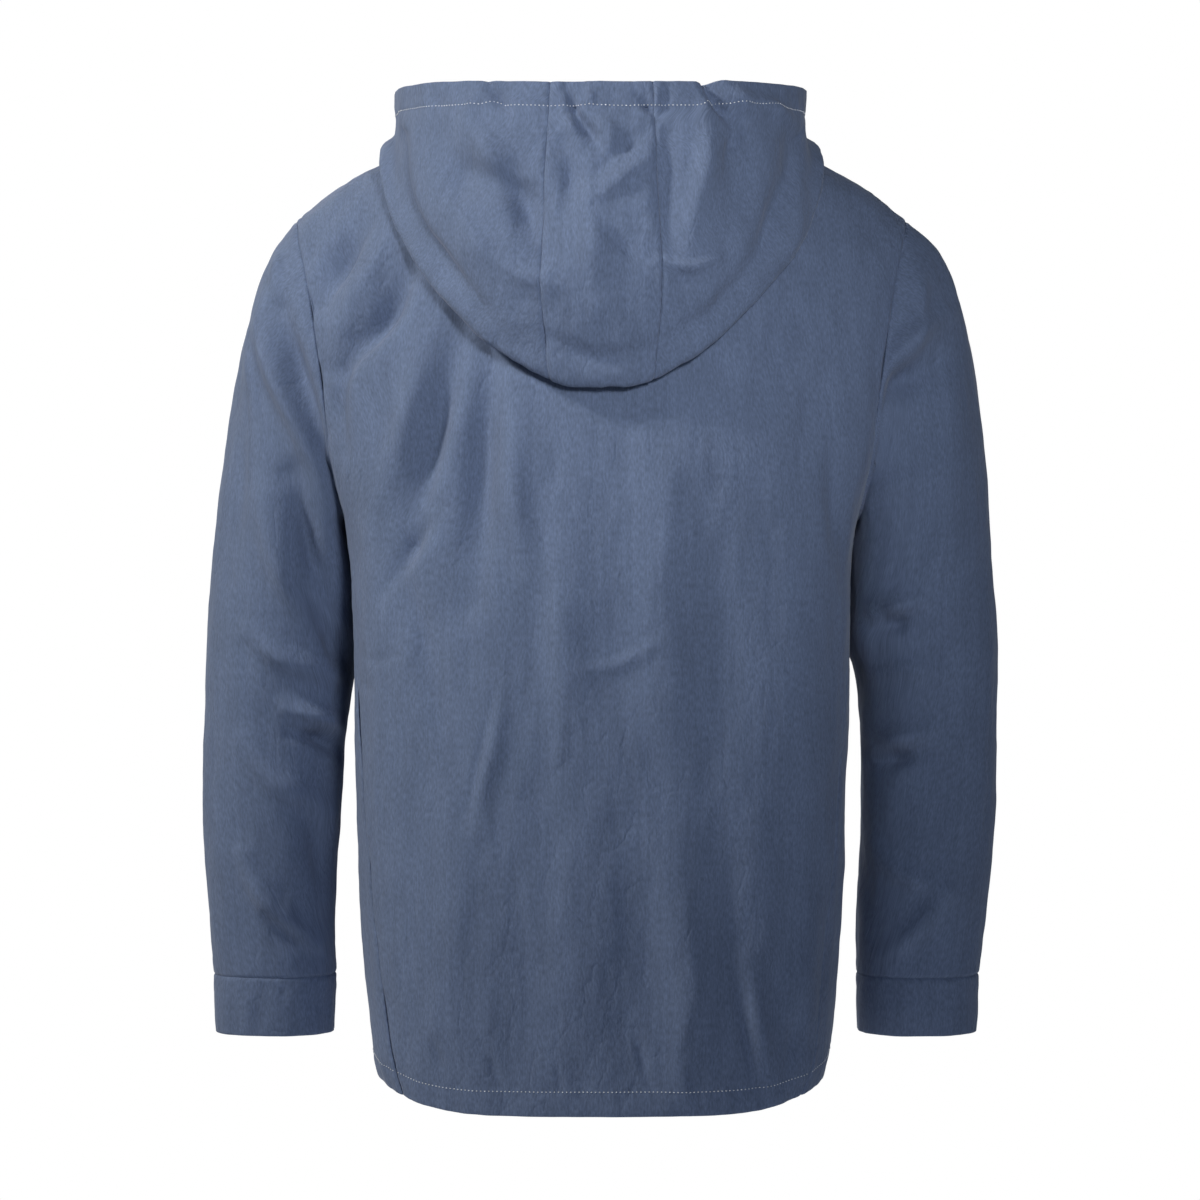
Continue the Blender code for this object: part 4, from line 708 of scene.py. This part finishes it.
def add_piece(name, shape, paint, body="hoodie"):
    mesh = bpy.data.meshes.new(name)
    shape.to_mesh(mesh)
    shape.free()
    mesh.materials.append(paint)
    mesh.shade_smooth()
    thing = bpy.data.objects.new(name, mesh)
    bpy.context.scene.collection.objects.link(thing)
    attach(thing, body)
    return thing


def cloth_sheet(name, points, sign, paint, closed):
    """A sheet of cloth on a grid of points, with its thickness inside them and its lengths as its UV map."""
    rows, columns = points.shape[:2]
    shape = bmesh.new()
    bmesh.ops.create_grid(shape, x_segments=columns - 1, y_segments=rows - 1, size=0.5)
    verts = sorted(shape.verts, key=lambda vert: (round(vert.co.y * rows * 4), vert.co.x))
    across = run_along(points, 1)
    across -= across[:, columns // 2:columns // 2 + 1]
    along = run_along(points, 0)
    chart = shape.loops.layers.uv.new("cloth")
    for index, vert in enumerate(verts):
        row, column = divmod(index, columns)
        for loop in vert.link_loops:
            loop[chart].uv = (across[row, column], along[row, column])
    for vert, place in zip(verts, points.reshape(-1, 3).tolist()):
        vert.co = place
    shape.normal_update()
    middle = verts[(rows // 2) * columns + columns // 2]
    wanted = Vector(normals_of(points, closed)[rows // 2, columns // 2]) * sign
    if middle.normal.dot(wanted) < 0.0:
        bmesh.ops.reverse_faces(shape, faces=shape.faces[:])
    if closed:
        bmesh.ops.remove_doubles(shape, verts=shape.verts[:], dist=MEETING)
    thing = add_piece(name, shape, paint)
    wall = thing.modifiers.new("thickness", "SOLIDIFY")
    wall.thickness = CLOTH
    wall.offset = -1.0
    wall.use_even_offset = False
    return thing


# ---- stitches and teeth ----
STITCH_LENGTH = 0.0014
STITCH_PITCH = 0.0031
STITCH_ROUND = 0.00048
STITCH_SIDES, STITCH_RINGS = 6, 5      # of each bead of thread
TOOTH_PITCH = 0.0026
TOOTH_AT = 0.0018             # from the zip's middle to where a tooth stands on its tape
TOOTH_MEET = 0.0008           # how far a tooth's own middle is moved from there towards the zip's
TOOTH_SIZE = (0.0014, 0.0027, 0.0011)   # up the zip, across it and out from the tape
TOOTH_ROUND = 0.00022


def line_at(points, edge, depth):
    """The line across a grid that lies this deep below one of its edges."""
    away = from_edge(points, edge)
    if edge in ("low", "high"):
        points, away = points.transpose(1, 0, 2), away.T
    if edge in ("high", "right"):
        points, away = points[:, ::-1], away[:, ::-1]
    return np.array([[np.interp(depth, run, axis) for axis in line.T] for line, run in zip(points, away)])


def placed(middle, along, out, sizes):
    """A matrix that puts a unit shape in a place, along one direction and facing another."""
    along = along.normalized()
    out = (out - along * out.dot(along)).normalized()
    turned = Matrix((along, out.cross(along), out)).transposed().to_4x4()
    return Matrix.Translation(middle) @ turned @ Matrix.Diagonal((*sizes, 1.0))


def stitches(name, line, out, paint, gaps=()):
    """A row of stitches along a line, each a small round bead of thread lying on the cloth."""
    shape = bmesh.new()
    run = np.concatenate([[0.0], np.cumsum(np.linalg.norm(np.diff(line, axis=0), axis=1))])
    for start in np.arange(STITCH_PITCH, run[-1] - STITCH_PITCH, STITCH_PITCH):
        ends = [Vector([np.interp(start + shift, run, axis) for axis in line.T])
                for shift in (0.0, STITCH_LENGTH)]
        middle = (ends[0] + ends[1]) / 2
        if any(low < middle.x < high for low, high in gaps):
            continue
        bmesh.ops.create_uvsphere(shape, u_segments=STITCH_SIDES, v_segments=STITCH_RINGS, radius=1.0,
                                  matrix=placed(middle, ends[1] - ends[0], out(middle),
                                                (STITCH_LENGTH / 2, STITCH_ROUND, STITCH_ROUND)))
    return add_piece(name, shape, paint)


def teeth(name, tape, hand, heights, paint):
    """One side's zip teeth, small rounded blocks set on the edge of its tape."""
    shape = bmesh.new()
    surface = BVHTree.FromObject(tape, bpy.context.evaluated_depsgraph_get())
    for height in heights:
        spots = [surface.ray_cast(Vector((hand * TOOTH_AT, -1.0, height + step)), Vector((0.0, 1.0, 0.0)))[0]
                 for step in (-TOOTH_PITCH, TOOTH_PITCH)]
        if None in spots:
            continue
        up = spots[1] - spots[0]
        out = Vector((-1.0, 0.0, 0.0)).cross(up) if up.z > 0.0 else Vector((0.0, -1.0, 0.0))
        out = out if out.y < 0.0 else -out
        middle = (spots[0] + spots[1]) / 2 + out.normalized() * TOOTH_SIZE[2] / 2
        middle.x = hand * (TOOTH_AT - TOOTH_MEET)
        made = bmesh.ops.create_cube(shape, size=1.0, matrix=placed(middle, up, out, TOOTH_SIZE))
        edges = list({edge for vert in made["verts"] for edge in vert.link_edges})
        bmesh.ops.bevel(shape, geom=edges, offset=TOOTH_ROUND, affect="EDGES", segments=1, profile=0.5,
                        material=-1)
    return add_piece(name, shape, paint)


# ---- materials ----
CLOTH_BLUE = (0.098, 0.136, 0.236)
THREAD_BLUE = (0.52, 0.57, 0.66)
TAPE_BLUE = (0.045, 0.062, 0.100)
METAL_GREY = (0.30, 0.31, 0.33)


class Paint:
    """A material and the nodes that its colour and its surface are worked out with."""

    def __init__(self, name, colour, roughness, metallic=0.0):
        self.material = bpy.data.materials.new(name)
        self.material.use_nodes = True
        self.tree = self.material.node_tree
        self.shader = self.tree.nodes["Principled BSDF"]
        self.shader.inputs["Base Color"].default_value = (*colour, 1.0)
        self.shader.inputs["Roughness"].default_value = roughness
        self.shader.inputs["Metallic"].default_value = metallic
        self.colour = colour
        self.where = self.tree.nodes.new("ShaderNodeTexCoord")

    def noise(self, output, scale, detail, stretch=(1.0, 1.0, 1.0)):
        mapping = self.tree.nodes.new("ShaderNodeMapping")
        mapping.inputs["Scale"].default_value = stretch
        grain = self.tree.nodes.new("ShaderNodeTexNoise")
        grain.inputs["Scale"].default_value = scale
        grain.inputs["Detail"].default_value = detail
        self.tree.links.new(self.where.outputs[output], mapping.inputs["Vector"])
        self.tree.links.new(mapping.outputs["Vector"], grain.inputs["Vector"])
        return grain.outputs["Fac"]

    def waves(self, output, scale, direction):
        wave = self.tree.nodes.new("ShaderNodeTexWave")
        wave.bands_direction = direction
        wave.inputs["Scale"].default_value = scale
        self.tree.links.new(self.where.outputs[output], wave.inputs["Vector"])
        return wave.outputs["Fac"]

    def between(self, value, low, high, start=0.3, end=0.7):
        band = self.tree.nodes.new("ShaderNodeMapRange")
        for socket, number in (("From Min", start), ("From Max", end), ("To Min", low), ("To Max", high)):
            band.inputs[socket].default_value = number
        self.tree.links.new(value, band.inputs["Value"])
        return band.outputs["Result"]

    def lines(self, value, width):
        """0 along the lines where a noise is halfway, rising to 1 beside them."""
        middle = self.tree.nodes.new("ShaderNodeMath")
        middle.operation = "SUBTRACT"
        middle.inputs[1].default_value = 0.5
        size = self.tree.nodes.new("ShaderNodeMath")
        size.operation = "ABSOLUTE"
        self.tree.links.new(value, middle.inputs[0])
        self.tree.links.new(middle.outputs["Value"], size.inputs[0])
        return self.between(size.outputs["Value"], 0.0, 1.0, 0.0, width)

    def joined(self, operation, first, second):
        node = self.tree.nodes.new("ShaderNodeMath")
        node.operation = operation
        self.tree.links.new(first, node.inputs[0])
        self.tree.links.new(second, node.inputs[1])
        return node.outputs["Value"]

    def shade(self, value):
        tint = self.tree.nodes.new("ShaderNodeVectorMath")
        tint.operation = "SCALE"
        tint.inputs[0].default_value = self.colour
        self.tree.links.new(value, tint.inputs["Scale"])
        self.tree.links.new(tint.outputs["Vector"], self.shader.inputs["Base Color"])

    def raise_by(self, value, distance, strength):
        bump = self.tree.nodes.new("ShaderNodeBump")
        bump.inputs["Strength"].default_value = strength
        bump.inputs["Distance"].default_value = distance
        self.tree.links.new(value, bump.inputs["Height"])
        if self.shader.inputs["Normal"].links:
            self.tree.links.new(self.shader.inputs["Normal"].links[0].from_socket, bump.inputs["Normal"])
        self.tree.links.new(bump.outputs["Normal"], self.shader.inputs["Normal"])


def cloth_paint():
    """Brushed cloth: a soft nap that runs down it, streaks of it and a faint unevenness of the dye."""
    paint = Paint("brushed_blue_cloth", CLOTH_BLUE, 0.92)
    shader = paint.shader
    shader.inputs["Specular IOR Level"].default_value = 0.12
    shader.inputs["Sheen Weight"].default_value = 0.15
    shader.inputs["Sheen Roughness"].default_value = 0.45
    shader.inputs["Sheen Tint"].default_value = (0.75, 0.82, 0.95, 1.0)
    nap = paint.noise("UV", 760.0, 3.0, (1.0, 0.30, 1.0))
    streaks = paint.noise("UV", 260.0, 4.0, (1.0, 0.07, 1.0))
    patches = paint.noise("UV", 55.0, 4.0, (1.0, 0.45, 1.0))
    dye = paint.noise("Object", 9.0, 3.0)
    fine = paint.joined("MULTIPLY", paint.between(nap, 0.80, 1.20), paint.between(streaks, 0.93, 1.07))
    broad = paint.joined("MULTIPLY", paint.between(patches, 0.95, 1.05), paint.between(dye, 0.96, 1.04))
    paint.shade(paint.joined("MULTIPLY", fine, broad))
    paint.raise_by(nap, 0.0004, 0.30)
    paint.raise_by(paint.lines(paint.noise("UV", 24.0, 5.0, (1.0, 0.62, 1.0)), 0.035), 0.0007, 0.40)
    return paint.material


def thread_paint():
    paint = Paint("pale_thread", THREAD_BLUE, 0.7)
    paint.shade(paint.between(paint.noise("Object", 900.0, 2.0), 0.8, 1.2))
    return paint.material


def tape_paint():
    """Woven tape, with fine ribs across it."""
    paint = Paint("zip_tape", TAPE_BLUE, 0.85)
    ribs = paint.waves("Object", 450.0, "Z")
    paint.shade(paint.joined("MULTIPLY", paint.between(ribs, 0.85, 1.15, 0.0, 1.0),
                             paint.between(paint.noise("Object", 700.0, 2.0), 0.85, 1.15)))
    paint.raise_by(ribs, 0.0002, 0.5)
    return paint.material


def metal_paint():
    """Satin metal, a little uneven from handling."""
    paint = Paint("zip_metal", METAL_GREY, 0.34, 1.0)
    paint.shade(paint.between(paint.noise("Object", 260.0, 4.0), 0.85, 1.15))
    paint.raise_by(paint.noise("Object", 1400.0, 2.0), 0.0001, 0.15)
    return paint.material


def floor_paint():
    """A pale floor that shines a little, so that it stays pale away from the lamps."""
    paint = Paint("pale_floor", (0.85, 0.85, 0.85), 0.8)
    paint.shade(paint.between(paint.noise("Object", 3.0, 2.0), 0.985, 1.015))
    paint.shader.inputs["Emission Color"].default_value = (0.85, 0.85, 0.85, 1.0)
    paint.shader.inputs["Emission Strength"].default_value = 0.20
    return paint.material


CLOTH_PAINT = cloth_paint()
THREAD_PAINT = thread_paint()
TAPE_PAINT = tape_paint()
METAL_PAINT = metal_paint()


# ---- the cloth pieces ----
SIDE_SEAM_SHIFT = 3.2         # columns by which the side seams run behind the sides at the hem
SIDE_SEAM_PACE = 0.75         # below 1, the seams leave the sides sooner
FACING_ASIDE = 0.35           # how much the body's cloth turns aside for each metre from its middle


def body_ring(place, row):
    """Points of the wearer's left half of the body, from the centre back, place 0, round to the zip."""
    place, row = np.broadcast_arrays(place, row)
    behind = torso(np.minimum(place, SIDE_COLUMN), row, BACK)
    before = torso(np.minimum(2 * SIDE_COLUMN - place, SIDE_COLUMN), row, FRONT)
    return np.where((place <= SIDE_COLUMN)[..., None], behind, before)


def side_seam(row):
    below = np.clip(1.0 - row / LOWER_ROWS, 0.0, 1.0)
    return SIDE_COLUMN - SIDE_SEAM_SHIFT * below ** SIDE_SEAM_PACE


def mirrored(points, hand):
    return points * np.array([hand, 1.0, 1.0])


def both_halves(half):
    return np.concatenate([mirrored(half[:, :0:-1], -1), half], axis=1)


def make_cloth(name, points, sign, closed=False, turned=()):
    points = with_turned_edges(points, sign, closed, turned)
    thing = cloth_sheet(name + "_cloth", points, sign, CLOTH_PAINT, closed)
    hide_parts(name)


half_columns, rows = np.meshgrid(TORSO_HALF_COLUMNS, TORSO_ROWS)
whole_back = both_halves(torso(half_columns, rows, BACK))
whole_front = torso(half_columns, rows, FRONT)
BODY = surface_of([(whole_back, np.array([0.0, 1.0, 0.0])),
                   (whole_front, np.array([0.0, -1.0, 0.0])),
                   (mirrored(whole_front, -1), np.array([0.0, -1.0, 0.0]))])

seam = side_seam(rows)
back_points = both_halves(body_ring(half_columns * seam / SIDE_COLUMN, rows))
half_front = body_ring(2 * SIDE_COLUMN - half_columns * (2 * SIDE_COLUMN - seam) / SIDE_COLUMN, rows)

points, sign = worked(back_points, BODY_CREASES, 1.0, fixed=("high",), sewn=("left", "right", "high"),
                      stitched=(("low", HEM),))
make_cloth("back", points, sign, turned=("low",))


def behind_or_before(point):
    """About the way the body's cloth faces at a point."""
    return Vector((FACING_ASIDE * point.x, 1.0 if point.y > SIDE_DEPTH else -1.0, 0.0))


def away_from_middle(point):
    return Vector((point.x, point.y, 0.0))


stitches("hem_stitches_back", line_at(points, "low", HEM), behind_or_before, THREAD_PAINT)
for word, hand in (("left", 1), ("right", -1)):
    points, sign = worked(mirrored(half_front, hand), BODY_CREASES, 2.0 + hand, fixed=("high",),
                          sewn=("right", "high"), stitched=(("low", HEM), ("left", ZIP_STITCH)))
    make_cloth("front_" + word, points, sign, turned=("low", "left"))
    stitches("hem_stitches_" + word, line_at(points, "low", HEM), behind_or_before, THREAD_PAINT)
    stitches("zip_stitches_" + word, line_at(points, "left", ZIP_STITCH), behind_or_before, THREAD_PAINT)

    index, step = np.meshgrid(SLEEVE_INDEX, SLEEVE_LINES)
    tube = settled(sleeve(hand, index, step), SLEEVE_LINES * SLEEVE_ROWS, BODY, SLEEVE_CLEARANCE)
    points, sign = worked(tube, SLEEVE_CREASES, 5.0 + hand, closed=True, fixed=("low", "high"),
                          sewn=("low", "high"))
    make_cloth("sleeve_" + word, points, sign, closed=True)

    index, part = np.meshgrid(SLEEVE_INDEX, CUFF_LINES)
    points, sign = worked(cuff(hand, index, part), CUFF_CREASES, 8.0 + hand, closed=True, fixed=("low",),
                          sewn=("low",))
    make_cloth("cuff_" + word, points, sign, closed=True, turned=("high",))

half_hood = np.stack([curve(hood_cut(column, BODY), HOOD_LINES) for column in HOOD_HALF_COLUMNS], axis=1)
hood = settled(both_halves(half_hood), HOOD_LINES * HOOD_ROWS, BODY, HOOD_CLEARANCE)
centre = len(HOOD_HALF_COLUMNS) - 1
panel = int(np.searchsorted(HOOD_HALF_COLUMNS, CENTRE_PANEL_COLUMN))
points, sign = worked(hood, HOOD_CREASES, 11.0, fixed=("low",), sewn=("low", centre - panel, centre + panel),
                      stitched=(("high", HEM),))
make_cloth("hood_center", points[:, centre - panel:centre + panel + 1], sign, turned=("high",))
make_cloth("hood_left", points[:, centre + panel:], sign, turned=("high",))
make_cloth("hood_right", points[:, :centre - panel + 1], sign, turned=("high",))
stitches("casing_stitches", line_at(points, "high", HEM), away_from_middle, THREAD_PAINT)


# ---- zip ----
def repaint(node, paint):
    thing = bpy.data.objects[node]
    thing.data.materials.clear()
    thing.data.materials.append(paint)
    return thing


tape_low, tape_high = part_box("zip_tape_left")
heights = np.arange(tape_low.z + 2 * TOOTH_PITCH, tape_high.z - TOOTH_PITCH, TOOTH_PITCH)
for word, hand in (("left", 1), ("right", -1)):
    tape = repaint("zip_tape_" + word, TAPE_PAINT)
    teeth("zip_teeth_" + word, tape, hand, heights + (TOOTH_PITCH / 2 if hand > 0 else 0.0), METAL_PAINT)
for node in ("zip_slider", "zip_pull", "zip_box"):
    repaint(node, METAL_PAINT)

# ---- studio ----
FLOOR_HEIGHT = -1.45
FLOOR_SIZE = 3.6
shape = bmesh.new()
bmesh.ops.create_grid(shape, x_segments=1, y_segments=1, size=FLOOR_SIZE,
                      matrix=Matrix.Translation((0.0, 0.0, FLOOR_HEIGHT)))
mesh = bpy.data.meshes.new("floor")
shape.to_mesh(mesh)
shape.free()
mesh.materials.append(floor_paint())
floor = bpy.data.objects.new("floor", mesh)
bpy.context.scene.collection.objects.link(floor)


def soft_light(name, place, aim, size, power, colour, spread):
    lamp = bpy.data.lights.new(name, "AREA")
    lamp.shape = "DISK"
    lamp.size = size
    lamp.energy = power
    lamp.color = colour
    lamp.spread = math.radians(spread)
    thing = bpy.data.objects.new(name, lamp)
    thing.location = place
    thing.rotation_euler = (Vector(aim) - Vector(place)).to_track_quat("-Z", "Y").to_euler()
    bpy.context.scene.collection.objects.link(thing)


soft_light("key", (1.68, 0.76, 1.20), (0.0, 0.0, -0.45), 0.34, 29.5, (1.0, 0.915, 0.78), 135.0)
soft_light("hood_light", (-0.45, 1.9, 0.30), (-0.03, 0.15, -0.07), 0.4, 0.7, (1.0, 0.95, 0.86), 30.0)
soft_light("side_fill", (-0.9, 3.0, 0.5), (0.0, 0.0, -0.60), 0.8, 6.6, (0.92, 0.95, 1.0), 120.0)
soft_light("front_fill", (0.9, -2.8, 0.8), (0.0, 0.0, -0.3), 2.0, 42.0, (1.0, 1.0, 1.0), 180.0)

world = bpy.data.worlds.new("studio")
bpy.context.scene.world = world
world.use_nodes = True
tree = world.node_tree
backdrop = tree.nodes["Background"]
backdrop.inputs["Color"].default_value = (1.0, 1.0, 1.0, 1.0)
backdrop.inputs["Strength"].default_value = 1.0
ambient = tree.nodes.new("ShaderNodeBackground")
ambient.inputs["Color"].default_value = (0.62, 0.78, 1.0, 1.0)
ambient.inputs["Strength"].default_value = 0.060
rays = tree.nodes.new("ShaderNodeLightPath")
choice = tree.nodes.new("ShaderNodeMixShader")
tree.links.new(rays.outputs["Is Camera Ray"], choice.inputs["Fac"])
tree.links.new(ambient.outputs["Background"], choice.inputs[1])
tree.links.new(backdrop.outputs["Background"], choice.inputs[2])
tree.links.new(choice.outputs["Shader"], tree.nodes["World Output"].inputs["Surface"])
bpy.context.scene.view_settings.view_transform = "Standard"

CAMERA_AWAY = 3.2
FRAME_WIDTH = 0.936           # width of the view where the garment hangs
lens = bpy.data.cameras.new("camera")
lens.sensor_width = 36.0
lens.lens = lens.sensor_width * CAMERA_AWAY / FRAME_WIDTH
lens.dof.use_dof = False
camera = bpy.data.objects.new("camera", lens)
camera.location = (0.001, CAMERA_AWAY, -0.3276)
camera.rotation_euler = (math.radians(90.0), 0.0, math.radians(180.0))
bpy.context.scene.collection.objects.link(camera)
bpy.context.scene.camera = camera
